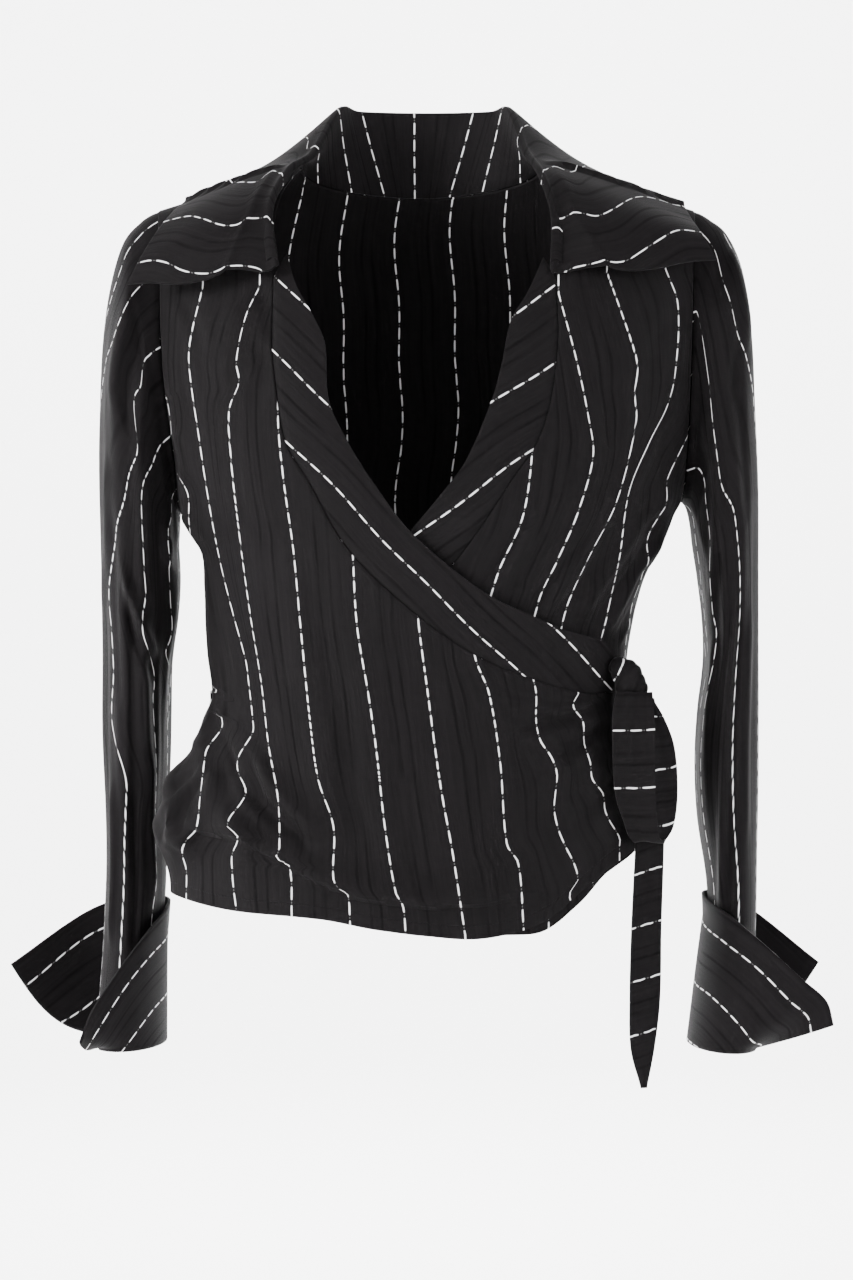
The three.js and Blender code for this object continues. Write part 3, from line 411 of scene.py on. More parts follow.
def clothMaterial():
    nodes = Nodes("stripedCrepe")
    look = clothLook
    uv = nodes.add("ShaderNodeUVMap", {"uv_map": "cloth"}, {})
    across = nodes.add("ShaderNodeSeparateXYZ", {}, {0: uv}, output=0)
    along = nodes.add("ShaderNodeSeparateXYZ", {}, {0: uv}, output=1)
    pitch, dash = stripes["pitch"] * millimetre, stripes["dash"] * millimetre

    line = (across / pitch + 0.5).of("FLOOR")  # which pale line is nearest
    offset = across - line * pitch
    away = offset.of("ABSOLUTE")
    place = (along / dash + line * 0.37).of("FRACT")  # from 0 to 1 over a dash and its gap
    inside = (place.of("MINIMUM", look["dashShare"] - place) * (dash / 0.0005)).clamped()
    middle = (place / (look["dashShare"] / 2) - 1.0).of("ABSOLUTE")
    wide = look["dashWide"] * (1.0 - 0.45 * middle ** 4.0)
    pale = ((wide - away) / look["dashSoft"] + 0.5).clamped() * inside
    gapPlace = (place - 0.87).of("ABSOLUTE")
    fine = ((0.00036 - away) / 0.0003 + 0.5).clamped() * ((0.055 - gapPlace) * 60.0).clamped()
    fuzz = nodes.add("ShaderNodeTexNoise", {}, {0: nodes.vector(across * 2600, along * 900), "Scale": 1.0,
                                                "Detail": 2.0})
    thread = (pale + fine * 0.1) * (0.72 + 0.42 * fuzz)

    tonal = ((away - pitch * 0.5).of("ABSOLUTE") - look["toneApart"]).of("ABSOLUTE")
    patch = nodes.add("ShaderNodeTexNoise", {}, {0: nodes.vector(line * 3.7, along * 17), "Scale": 1.0,
                                                 "Detail": 1.0})
    tone = ((look["toneWide"] - tonal) / 0.0012 + 0.5).clamped() * ((patch - 0.3) * 4.0).clamped()

    grain = nodes.add("ShaderNodeTexNoise", {}, {0: nodes.vector(across * 420, along * 14), "Scale": 1.0,
                                                 "Detail": 3.0, "Roughness": 0.6})
    warp = (across * (2 * math.pi / look["warp"])).of("SINE")
    weft = (along * (2 * math.pi / look["weft"])).of("SINE")
    pebble = nodes.add("ShaderNodeTexNoise", {}, {0: nodes.vector(across * 1500, along * 1500), "Scale": 1.0,
                                                  "Detail": 2.0})
    weave = warp * weft * 0.35 + pebble

    edge = nodes.add("ShaderNodeAttribute", {"attribute_name": "edge"}, {}, output=2)
    stitch = nodes.add("ShaderNodeAttribute", {"attribute_name": "stitch"}, {}, output=2)
    rubbed = ((1.6 - edge) / 1.6).clamped()
    seam = ((0.55 - stitch.of("ABSOLUTE")) / 0.4).clamped()
    sewn = seam * (((across + along) / 0.0024).of("FRACT") - 0.3).of("GREATER_THAN", 0.0)

    # painted sheen: lighter streaks along the crepe's grain where it would catch light, partly the grain's
    # own tone
    ground = nodes.mixed(((grain - 0.35) * 1.8).clamped(), look["black"], look["worn"])
    ground = nodes.mixed(tone * 0.55, ground, look["tone"])
    ground = nodes.mixed(rubbed * 0.35, ground, look["worn"])
    colour = nodes.mixed(thread.clamped(), ground, look["thread"])
    roughness = 0.74 + 0.16 * tone + 0.06 * (grain - 0.5) - 0.1 * thread.clamped()
    height = (weave * 0.00006 + grain * 0.00035 + thread.clamped() * 0.00012 - tone * 0.00012
              - seam * 0.0005 + sewn * 0.00035)
    bump = nodes.add("ShaderNodeBump", {}, {"Height": height, "Distance": 1.0, "Strength": 0.7})
    shader = nodes.add("ShaderNodeBsdfPrincipled", {}, {
        "Base Color": colour, "Roughness": roughness, "Normal": bump,
        "Sheen Weight": 0.045, "Sheen Roughness": 0.35, "Sheen Tint": (1.0, 0.97, 1.0, 1),
        "Specular IOR Level": 0.06,
    })
    nodes.add("ShaderNodeOutputMaterial", {}, {0: shader})
    return nodes.material


stripedCloth = clothMaterial()
print("made the cloth's material")

panelCut = {
    "sideRows": 15, "armRows": 13, "hiddenRows": 5, "neckRows": 5,
    "underarm": {"right": -235, "left": -228},
    "neckPoint": {"right": -90, "left": 83},
    "backNeckDrop": 14,
    "overLift": 6,  # the overlapping front lies this far outside the front beneath it
    "backHem": (-505, -492, -468),
    # lines seen from the front, as x and z
    "overSeam": [(126, -364), (105, -364), (71, -354), (34, -338), (-10, -307), (-51, -267), (-81, -217),
                 (-95, -193), (-102, -156), (-106, -121), (-106, -78)],
    "overEdge": [(129, -341), (118, -328), (90, -319), (71, -310), (45, -298), (18, -279), (-11, -253),
                 (-35, -222), (-53, -193), (-66, -164), (-69, -125), (-76, -108), (-90, -82), (-97, -59)],
    "underSeam": [(-126, -384), (-102, -372), (-70, -352), (-38, -328), (-6, -300), (20, -274), (42, -244),
                  (58, -219), (74, -196), (83, -173), (88, -148), (91, -116), (90, -79)],
    "underEdge": [(-128, -346), (-100, -334), (-70, -312), (-40, -284), (-11, -253), (11, -227), (27, -205),
                  (45, -162), (52, -136), (58, -108), (70, -87), (81, -62)],
    "overHem": [(-184, -505), (-168, -508), (-131, -514), (-71, -518), (-31, -525), (27, -531), (58, -527),
                (80, -519), (104, -500), (127, -482), (148, -465)],
    "underHem": [(-120, -511), (-60, -516), (0, -527), (58, -529), (80, -527), (104, -510), (127, -488),
                 (156, -468)],
    "overEnd": [(148, -465), (144, -440), (135, -400), (126, -364)],
    "underEnd": [(-120, -511), (-124, -450), (-126, -384)],
    "rightNeck": [(-106, -78), (-107, -45), (-103, -14), (-90, 12.16)],
    "leftNeck": [(90, -79), (91, -45), (88, -12), (83, 14.28)],
}
panelRows = panelCut["sideRows"] + panelCut["armRows"]
bandRows = panelRows - panelCut["hiddenRows"] - panelCut["neckRows"]

# folds: angle and height of one end and the other, sideways bow, width, and height at each end
overFolds = [
    (-70, -436, -73, -462, 0, 24, 18, 21),  # blouson over the right hip
    (-84, -390, -60, -470, 0, 11, 3, 7), (-74, -384, -40, -468, 0, 10, 3, 6),
    (-66, -376, -22, -452, 0, 9, 2, 4), (56, -378, 22, -404, 0, 8, 4, 1), (60, -402, 24, -436, 0, 9, 5, 1),
    (66, -428, 34, -470, 0, 9, 5, 1), (72, -450, 44, -500, 0, 9, 4, 2),
]
overCreases = [
    (-80, -372, -52, -452, 6, 5, 2.2, 1.0), (-70, -378, -36, -446, -4, 4, -1.6, -0.6),
    (-86, -404, -66, -478, 5, 5, 2.0, 2.4), (-62, -366, -30, -430, 3, 4, 1.6, 0.4),
    (-78, -330, -70, -392, -3, 5, 0.4, 2.0), (-72, -290, -74, -372, 4, 6, 0.5, 1.8),
    (-60, -300, -52, -380, 3, 7, 0.3, 1.2), (-64, -120, -60, -200, 5, 6, 1.6, 0.4),
    (-54, -100, -50, -190, -5, 6, 1.4, 0.3), (-70, -150, -66, -250, 4, 6, 1.8, 0.5),
    (-46, -130, -42, -260, 6, 7, 1.2, 0.4), (-36, -190, -28, -330, 6, 7, 0.9, 0.4),
    (52, -374, 12, -398, 2, 3.5, -1.2, -0.3), (56, -390, 14, -420, -3, 4, 2.0, 0.5),
    (60, -416, 20, -452, 4, 4, 2.2, 0.5), (64, -440, 30, -486, -4, 4, 1.8, 0.7),
    (46, -372, 6, -384, -2, 4, 1.6, 0.3), (68, -462, 48, -512, 3, 5, 1.5, 1.4),
    (20, -370, 16, -520, 5, 7, 0.8, 0.9), (4, -350, 6, -520, -5, 8, 0.6, 0.9),
    (-12, -330, -8, -516, 6, 8, 0.6, 1.0), (-26, -390, -22, -512, -4, 8, 0.5, 1.0),
    (-40, -460, -36, -512, 2, 7, 1.0, 0.8), (32, -392, 36, -524, -4, 6, 0.8, 1.0),
]
underFolds = [
    (31, -286, 44, -226, 0, 10, 6, 2), (44, -300, 60, -240, 0, 9, 6, 2), (58, -312, 76, -262, 0, 8, 5, 2),
    (56, -120, 50, -190, 0, 12, 4, 1),
]
underCreases = [
    (25, -282, 38, -216, 4, 4, 2.4, 0.5), (38, -296, 52, -232, 3, 3.5, -1.8, -0.4),
    (40, -300, 56, -226, -4, 4, 2.2, 0.6), (52, -308, 68, -250, 3, 3.5, -1.8, -0.4),
    (62, -318, 80, -268, 2, 4, 2.2, 0.8), (70, -326, 86, -290, 2, 4, 1.8, 0.8),
    (48, -100, 42, -180, 5, 6, 1.6, 0.4), (66, -110, 60, -190, 5, 6, 2.0, 0.5),
    (74, -150, 66, -230, -4, 6, 1.6, 0.6), (58, -180, 52, -250, 5, 6, 1.2, 0.6),
    (34, -160, 30, -230, 5, 7, 0.9, 0.4), (80, -230, 72, -310, -4, 6, 1.4, 1.0),
]
backFolds = [
    (168, -352, 172, -300, 0, 10, 5, 1), (-168, -356, -160, -296, 0, 10, 6, 1),
    (146, -350, 140, -292, 0, 10, 5, 1), (-146, -360, -138, -300, 0, 9, 5, 1),
    (-156, -398, -158, -470, 0, 13, 7, 2), (178, -396, 178, -464, 0, 14, 7, 2),
    (152, -392, 150, -456, 0, 12, 6, 2), (-128, -398, -122, -478, 0, 14, 10, 3),
    (124, -386, 120, -446, 0, 12, 6, 2),
]
backCreases = [
    (174, -350, 178, -280, 4, 5, 2.2, 0.4), (-174, -352, -170, -270, -4, 5, 2.4, 0.4),
    (160, -346, 156, -276, 4, 5, 2.0, 0.4), (-158, -356, -152, -282, -3, 5, 2.2, 0.4),
    (132, -346, 124, -280, 4, 5, 1.8, 0.5), (-132, -360, -126, -292, 4, 5, 2.0, 0.5),
    (112, -342, 104, -270, 4, 6, 1.6, 0.6), (-112, -366, -106, -300, -4, 6, 1.8, 0.6),
    (168, -402, 166, -480, 5, 6, 2.2, 0.9), (-168, -404, -170, -486, -5, 6, 2.4, 0.8),
    (-142, -404, -140, -490, 5, 6, 2.4, 0.9), (138, -396, 136, -470, -4, 6, 2.0, 0.8),
    (110, -384, 108, -450, 3, 6, 1.6, 1.0), (-110, -400, -106, -490, 4, 7, 2.2, 1.2),
    (150, -80, 146, -200, 8, 9, 1.2, 0.4), (-150, -80, -146, -210, -8, 9, 1.2, 0.4),
    (124, -110, 130, -230, -6, 8, 1.6, 0.4), (-124, -110, -130, -240, 6, 8, 1.6, 0.4),
    (176, -60, 174, -220, 6, 10, 0.9, 0.5), (-166, -120, -162, -260, 5, 9, 0.9, 0.5),
]

# creases as the front view shows them: a line's points as x and z, its width, and its height at each end
overLines = [
    # round the right hip
    ([(-163, -417), (-175, -429), (-194, -444), (-199, -454)], 3.5, -2.4, -1.2),
    ([(-158, -414), (-175, -437), (-181, -456), (-184, -477)], 4.5, 1.5, 3),
    ([(-163, -426), (-171, -437), (-175, -451), (-172, -467), (-156, -483)], 5, -3.2, -1),
    ([(-150, -420), (-157, -441), (-159, -456), (-164, -467)], 6, 2.6, 1.6),
    ([(-145, -395), (-141, -409), (-135, -426), (-123, -445), (-105, -462), (-88, -470)], 2.6, -1.5, -1),
    ([(-130, -408), (-127, -418), (-122, -431), (-118, -443), (-105, -456), (-89, -471), (-84, -486)],
     4, -2.2, -3),
    ([(-122, -408), (-116, -427), (-106, -441), (-91, -456), (-76, -472)], 6, 1.8, 2.2),
    ([(-138, -421), (-132, -436), (-125, -451), (-113, -466)], 5, 2, 1.6),
    ([(-130, -451), (-122, -459), (-114, -466)], 4, -1.6, -1.2),
    ([(-155, -371), (-160, -392), (-166, -408)], 6, 1.4, 2.4),
    # long soft ones down the front
    ([(-83, -270), (-76, -328), (-60, -371), (-55, -414), (-47, -464), (-42, -504)], 11, -1, -1.7),
    ([(-99, -270), (-91, -328), (-78, -385), (-70, -428), (-59, -479)], 12, 0.9, 1.2),
    ([(-23, -371), (-17, -414), (-11, -472), (-5, -508)], 10, -0.8, -1.2),
    # drawn towards the knot
    ([(122, -371), (100, -377), (74, -374), (53, -366)], 4.5, 2.2, 0.6),
    ([(125, -379), (107, -391), (85, -396), (63, -400)], 5, 2.4, 0.6),
    ([(123, -374), (104, -382), (85, -387), (67, -387)], 4, -1.6, -0.5),
    ([(129, -396), (116, -408), (97, -420), (81, -436)], 5, 2.4, 0.8),
    ([(127, -388), (114, -400), (96, -408), (78, -414)], 4, -1.7, -0.6),
    ([(133, -418), (122, -432), (107, -443), (96, -464)], 6, 2.2, 0.9),
    ([(80, -399), (94, -414), (111, -435)], 5, 1.6, 1.2),
    ([(107, -385), (117, -398), (125, -414)], 4, -1.4, -1.4),
    ([(31, -328), (38, -343), (47, -364), (50, -385)], 5, 1.4, 0.6),
    # below the collar and beside the arm
    ([(-120, -71), (-114, -94), (-109, -115)], 6, -2, -0.8),
    ([(-125, -111), (-117, -130), (-122, -163)], 6, -1.2, -0.8),
    ([(-135, -83), (-142, -112), (-148, -151)], 8, 1.2, 0.8),
    ([(-176, -76), (-165, -112), (-160, -158)], 6, -1.2, -0.8),
    ([(-192, -115), (-184, -155), (-174, -194)], 6, 1.4, 1.4),
    ([(-182, -83), (-175, -133), (-166, -184), (-159, -241)], 7, -1, -1.2),
    ([(-171, -241), (-159, -299), (-153, -356)], 8, 1.4, 1.2),
]
underLines = [
    ([(76, -307), (91, -287), (105, -267), (125, -242), (135, -227)], 4, -3.6, -1),
    ([(82, -312), (97, -292), (112, -272), (130, -248)], 5, 3.2, 1),
    ([(40, -289), (53, -273), (68, -253), (85, -238)], 4.5, -3, -0.8),
    ([(53, -292), (67, -270), (85, -248)], 6, 2.4, 0.8),
    ([(168, -205), (171, -187), (174, -170), (180, -148), (186, -133)], 6, -1.6, -2.4),
    ([(72, -248), (96, -225), (114, -209)], 7, 1.4, 0.6),
    ([(129, -133), (133, -159), (135, -187), (132, -231)], 6, -1, -0.8),
    ([(161, -205), (161, -248), (153, -277), (144, -292)], 6, -1.6, -1.6),
    ([(169, -212), (171, -248), (164, -284)], 6, 1.8, 1.4),
    ([(113, -297), (117, -281), (125, -263), (138, -241)], 5, -1.8, -0.8),
    ([(91, -71), (88, -83), (78, -112)], 8, -1.6, -0.6),
    ([(153, -83), (152, -126), (145, -169), (127, -212)], 9, 1.2, 0.8),
]
# where the bloused cloth hangs over the hem, from the right hip round to the front, and how far
overhang = {
    "line": [(-198, -475), (-184, -477), (-175, -475), (-166, -466), (-154, -467), (-137, -469), (-122, -477),
             (-107, -485), (-96, -492), (-80, -500), (-63, -507), (-46, -513), (-19, -516), (5, -519),
             (24, -518), (53, -515), (81, -510), (109, -503)],
    "high": 7.5, "wide": 17, "sharp": 2.0,
}

# the pale lines as the front view shows them, from top to bottom, as x and z
overStripes = [
    [(-230, -73), (-215, -243), (-195, -330), (-176, -380), (-159, -397), (-167, -403), (-174, -411),
     (-178, -440), (-182, -461), (-196, -476), (-204, -510)],
    [(-198, -73), (-194, -119), (-185, -165), (-181, -204), (-172, -222), (-171, -243), (-163, -300),
     (-151, -356), (-152, -372), (-147, -389), (-158, -406), (-160, -416), (-163, -440), (-166, -464),
     (-173, -472), (-176, -480), (-173, -493), (-173, -511)],
    [(-161, -73), (-170, -111), (-171, -130), (-164, -181), (-156, -233), (-148, -274), (-140, -306),
     (-130, -343), (-128, -358), (-125, -385), (-125, -394), (-135, -411), (-136, -421), (-130, -436),
     (-133, -444), (-142, -456), (-143, -463), (-137, -467), (-136, -472), (-140, -482), (-140, -493),
     (-139, -506), (-137, -521)],
    [(-120, -73), (-130, -94), (-137, -127), (-135, -142), (-142, -161), (-141, -195), (-135, -250),
     (-127, -309), (-119, -359), (-114, -402), (-107, -442), (-106, -478), (-108, -485), (-99, -490),
     (-97, -526)],
    [(-96, -73), (-104, -120), (-107, -166), (-103, -212), (-96, -262), (-91, -315), (-84, -385),
     (-78, -428), (-67, -462), (-67, -500), (-62, -508), (-57, -510), (-55, -531)],
    [(-60, -73), (-56, -200), (-53, -267), (-50, -318), (-42, -366), (-36, -408), (-30, -462), (-22, -510),
     (-17, -519), (-15, -539)],
    [(-20, -73), (-10, -260), (-6, -313), (0, -359), (10, -432), (19, -482), (28, -541)],
    [(22, -73), (30, -300), (35, -340), (45, -366), (53, -415), (58, -475), (66, -488), (70, -536)],
    [(62, -73), (72, -320), (77, -356), (79, -366), (79, -386), (82, -400), (90, -412), (94, -424),
     (93, -436), (92, -450), (95, -464), (100, -476), (106, -488), (109, -498), (108, -504), (103, -510),
     (105, -519)],
    [(100, -73), (108, -340), (110, -364), (105.6, -375), (112.6, -386), (113.5, -402), (118, -416),
     (119.5, -428), (127, -438), (128.5, -450), (132, -458), (139, -470), (139, -476)],
]
underStripes = [
    [(80, -73), (78, -150), (76, -194), (69, -240), (51, -281), (40, -330), (50, -530)],
    [(95, -78), (108, -126), (117, -169), (120, -195), (109, -236), (94, -271), (81, -299), (74, -340),
     (88, -530)],
    [(130, -63), (148, -114), (152, -131), (150, -150), (151, -170), (137, -228), (116, -270), (100, -307),
     (96, -340), (124, -530)],
    [(172, -60), (181, -86), (179, -136), (173, -160), (161, -184), (146, -220), (139, -268), (130, -310),
     (125, -340), (160, -530)],
]


def sideLine(side, hemZ, row, facing):
    # the seam shared by a front, the back and a sleeve: straight up the side, then round the armhole
    sign = -1 if side == "right" else 1
    low, high = panelCut["underarm"][side], torsoCut["shoulder"][1]
    width = rightWidth if side == "right" else leftWidth
    armX = through([low, low + 30, -120, -60, high], [width(low), width(low) + 1.5, 187, 189.5, 193])
    up = np.clip(row - panelCut["sideRows"], 0, panelCut["armRows"]) / panelCut["armRows"]
    z = (low + high) / 2 - (high - low) / 2 * np.cos(math.pi * up)
    armQ = angleOf(sign * np.minimum(armX(z), width(z)), z)
    onSide = row <= panelCut["sideRows"]
    q = np.where(onSide, sign * 90.0, armQ if facing < 0 else sign * 180 - armQ)
    return q, np.where(onSide, hemZ + (low - hemZ) * np.minimum(row / panelCut["sideRows"], 1), z)


def openingLine(end, seam, neck, row):
    # a front's inner side: its short end, then the band's seam, then the neckline
    hidden, neckStart = panelCut["hiddenRows"], panelCut["hiddenRows"] + bandRows
    onEnd = lineThrough(end)(np.clip(row / hidden, 0, 1))
    onSeam = lineThrough(seam)(np.clip((row - hidden) / bandRows, 0, 1))
    onNeck = lineThrough(neck)(np.clip((row - neckStart) / panelCut["neckRows"], 0, 1))
    point = np.where((row <= hidden)[:, None], onEnd, np.where((row <= neckStart)[:, None], onSeam, onNeck))
    return angleOf(point[:, 0], point[:, 1]), point[:, 1]


def hemLine(points, s):
    # a hem by the share of the way round it
    x, z = np.array(points, float).T
    line = lineThrough(np.stack([angleOf(x, z) * 2, z], axis=1))(s)
    return line[:, 0] / 2, line[:, 1]


def coons(sideA, sideB, hem, top, rows, columns):
    # angles and heights inside four border lines: the two ruled surfaces less the one of the corners
    t, s = (rows / rows[-1])[:, None], (columns / columns[-1])[None, :]
    result = []
    for k in (0, 1):
        a, b, c, d = sideA[k], sideB[k], hem[k], top[k]
        corners = (a[0] * (1 - s) + b[0] * s) * (1 - t) + (a[-1] * (1 - s) + b[-1] * s) * t
        result.append(a[:, None] * (1 - s) + b[:, None] * s + c[None, :] * (1 - t) + d[None, :] * t - corners)
    return result


def seamDip(rows, columns, sides):
    # the cloth sinks a little where it is sewn: sides names the borders, as row or column and end
    dip = np.zeros((len(rows), len(columns)))
    for axis, end in sides:
        count = len(rows) if axis == 0 else len(columns)
        from0 = np.arange(count) if end == 0 else np.arange(count)[::-1]
        line = 0.6 * np.exp(-(from0 / 1.1) ** 2)
        dip += line[:, None] if axis == 0 else line[None, :]
    return dip


panelRowsFine = np.linspace(0, panelRows, panelRows * fineness + 1)


def overLiftOf(q, z, s):
    # flush at the side seam and armhole, then over the other front, and back to nothing at the neckline
    lift = panelCut["overLift"] * smooth(s / 0.2) * smooth((-40 - z) / 120)
    folds = (foldHeight(overFolds, q, z) + 0.6 * foldHeight(overCreases, q, z)) * smooth(s / 0.08)
    x, z = seenFromFront(torso(q, z, lift + folds)[0])
    lines = 1.5 * lineHeight(overLines, x, z) + overhangHeight(x, z)
    return lift + folds + lines * smooth(s / 0.03)


def underLiftOf(q, z, s):
    folds = foldHeight(underFolds, q, z) + 0.6 * foldHeight(underCreases, q, z)
    x, z = seenFromFront(torso(q, z, folds * smooth(s / 0.12))[0])
    raised = 1.3 * lineHeight(underLines, x, z)
    overlap = smooth((z - through([-97, -9, 45, 90, 129], [-59, -253, -298, -319, -341])(x)) / 12)
    return (folds + np.where(raised > 0, raised * overlap, raised)) * smooth((q + 2) / 30) * smooth(s / 0.12)


tieBackCut = {"startQ": -92, "endQ": 79, "startZ": -378, "midZ": -372, "endZ": -354, "half": 14, "lift": 2.8,
              "thick": 1.6, "flat": (0.034, 0.42), "area": 0.0142, "held": "gathered",
              "restsOn": ["backPanel"]}


def backLiftOf(q, z):
    # the back's folds flatten beneath the tie
    height = through([-270, -180, -90], [tieBackCut["endZ"], tieBackCut["midZ"], tieBackCut["startZ"]])(q)
    folds = foldHeight(backFolds, q, z) + foldHeight(backCreases, q, z)
    return folds * smooth((np.abs(z - height) - 22) / 22)


rightSideZ, leftSideZ = panelCut["overHem"][0][1], panelCut["underHem"][-1][1]
overOpening = panelCut["overEnd"], panelCut["overSeam"], panelCut["rightNeck"]
underOpening = panelCut["underEnd"], panelCut["underSeam"], panelCut["leftNeck"]

frontCut = {
    "right": {"columns": 24, "thick": 1.6, "flat": (0.47, 0.58), "area": 0.123, "held": "stretched",
              "restsOn": ["frontLeft", "backPanel"]},
    "left": {"columns": 20, "thick": 1.6, "flat": (0.36, 0.57), "area": 0.113, "held": "stretched",
             "restsOn": ["backPanel"]},
}


def buildFront(name, node, side, hemZ, hem, opening, liftOf, lines):
    # from the side seam and armhole to the opening, and from the hem to the shoulder seam
    settings, isLeft = frontCut[side], side == "left"
    rows, columns = panelRowsFine, np.linspace(0, settings["columns"], settings["columns"] * fineness + 1)
    s = columns / columns[-1]
    outerX = torsoCut["shoulder"][0] * (1 if isLeft else -1)
    topX = outerX + (panelCut["neckPoint"][side] - outerX) * s
    top = angleOf(topX, shoulderHeight(topX)), shoulderHeight(topX)
    opening = openingLine(*opening, rows)
    q, z = coons(sideLine(side, hemZ, rows, -1), opening, hemLine(hem, s), top, rows, columns)
    lift = liftOf(q, z, s[None, :]) - seamDip(rows, columns, [(1, 0), (1, 1)])
    points, _ = torso(q, z, lift)
    hemAway = alongRows(points, 0)
    addPiece(name, [node], points, frontUV(points, lines, isLeft), settings, flip=isLeft, edge=hemAway,
             stitch=hemAway - 9)


backCut = {"shoulderColumns": 5, "neckColumns": 10, "thick": 1.6, "flat": (0.48, 0.58), "area": 0.212,
           "held": "stretched", "restsOn": ["sleeveRight", "sleeveLeft"]}


def backTop(column):
    # shoulder seam, back neckline, shoulder seam, as angle and height
    ends, neck = backCut["shoulderColumns"], backCut["neckColumns"]
    right, left = panelCut["neckPoint"]["right"], panelCut["neckPoint"]["left"]
    x = np.interp(column, [0, ends, ends + neck, 2 * ends + neck], [-193, right, left, 193])
    share = np.clip((column - ends) / neck, 0, 1)
    level = shoulderHeight(right) + (shoulderHeight(left) - shoulderHeight(right)) * share
    inNeck = (column > ends) & (column < ends + neck)
    arc = np.sqrt(np.maximum(1 - (2 * share - 1) ** 2, 0))
    drop = shoulderHeight(x) - level + panelCut["backNeckDrop"] * arc
    z = shoulderHeight(x) - np.where(inNeck, drop, 0)
    return -180 - angleOf(x, z), z


def buildBack():
    settings = backCut
    count = 2 * settings["shoulderColumns"] + settings["neckColumns"]
    rows, columns = panelRowsFine, np.linspace(0, count, count * fineness + 1)
    s = columns / count
    sideA = sideLine("right", rightSideZ, rows, 1)
    leftQ, leftZ = sideLine("left", leftSideZ, rows, 1)
    hemZ = through([0, 0.5, 1], panelCut["backHem"])(s)
    q, z = coons(sideA, (leftQ - 360, leftZ), (-90 - 180 * s, hemZ), backTop(columns), rows, columns)
    points, _ = torso(q, z, backLiftOf(q, z) - seamDip(rows, columns, [(1, 0), (1, 1), (0, 1)]))
    around = alongRows(points, 1)
    middle = crossing(around, -180 - q)
    along = alongRows(points, 0)
    uv = np.stack([around - middle + sway(along, 0.4) + 21, along], axis=-1)
    addPiece("backPanel", ["back"], points, uv, settings, flip=True, edge=along, stitch=along - 9)


bandCut = {
    "right": {"thick": 1.7, "flat": (0.048, 0.44), "area": 0.0158, "held": "stretched",
              "restsOn": ["frontRight"]},
    "left": {"thick": 1.7, "flat": (0.048, 0.42), "area": 0.0138, "held": "stretched",
             "restsOn": ["frontLeft"]},
    "across": 3, "fine": 6,
    # each band's pale lines in the front view: their turn from level, a point on one, and the pitch
    "rightLines": {"turn": -45, "through": (-40, -246), "pitch": 40},
    "leftLines": {"turn": 35, "through": (73, -140), "pitch": 45},
}


def buildBand(name, node, side, seam, rim, liftOf, flip, lines):
    settings = bandCut[side]
    rows = np.linspace(0, 1, bandRows * fineness + 1)
    columns = np.linspace(0, 1, bandCut["across"] * bandCut["fine"] + 1)
    seamX, seamZ = lineThrough(seam)(rows).T
    rimX, rimZ = lineThrough(rim)(rows).T
    seamQ, rimQ = angleOf(seamX, seamZ), angleOf(rimX, rimZ)
    q = seamQ[:, None] * (1 - columns) + rimQ[:, None] * columns
    z = seamZ[:, None] * (1 - columns) + rimZ[:, None] * columns
    dip = 1.3 * np.exp(-(np.arange(len(columns)) / 1.3) ** 2)[None, :]
    swell = 0.5 * np.sin(math.pi * columns)[None, :]
    points, _ = torso(q, z, liftOf(q, z, 1) - dip + swell)
    seenX, seenZ = seenFromFront(points)
    turn = math.radians(lines["turn"])
    x, z = seenX - lines["through"][0], seenZ - lines["through"][1]
    along = x * math.cos(turn) + z * math.sin(turn)
    across = (z * math.cos(turn) - x * math.sin(turn)) * stripes["pitch"] / lines["pitch"] + 0.6 * sway(along)
    uv = np.stack([across, along], axis=-1)
    rimAway = alongRows(points, 1)
    addPiece(name, [node], points, uv, settings, flip=flip, edge=rimAway[:, -1:] - rimAway)


buildBack()
buildFront("frontLeft", "front_left", "left", leftSideZ, panelCut["underHem"][::-1], underOpening,
           underLiftOf, underStripes)
buildFront("frontRight", "front_right", "right", rightSideZ, panelCut["overHem"], overOpening,
           overLiftOf, overStripes)
buildBand("bandLeft", "band_left", "left", panelCut["underSeam"], panelCut["underEdge"], underLiftOf, True,
          bandCut["leftLines"])
buildBand("bandRight", "band_right", "right", panelCut["overSeam"], panelCut["overEdge"], overLiftOf, False,
          bandCut["rightLines"])
print("made the panels and bands")

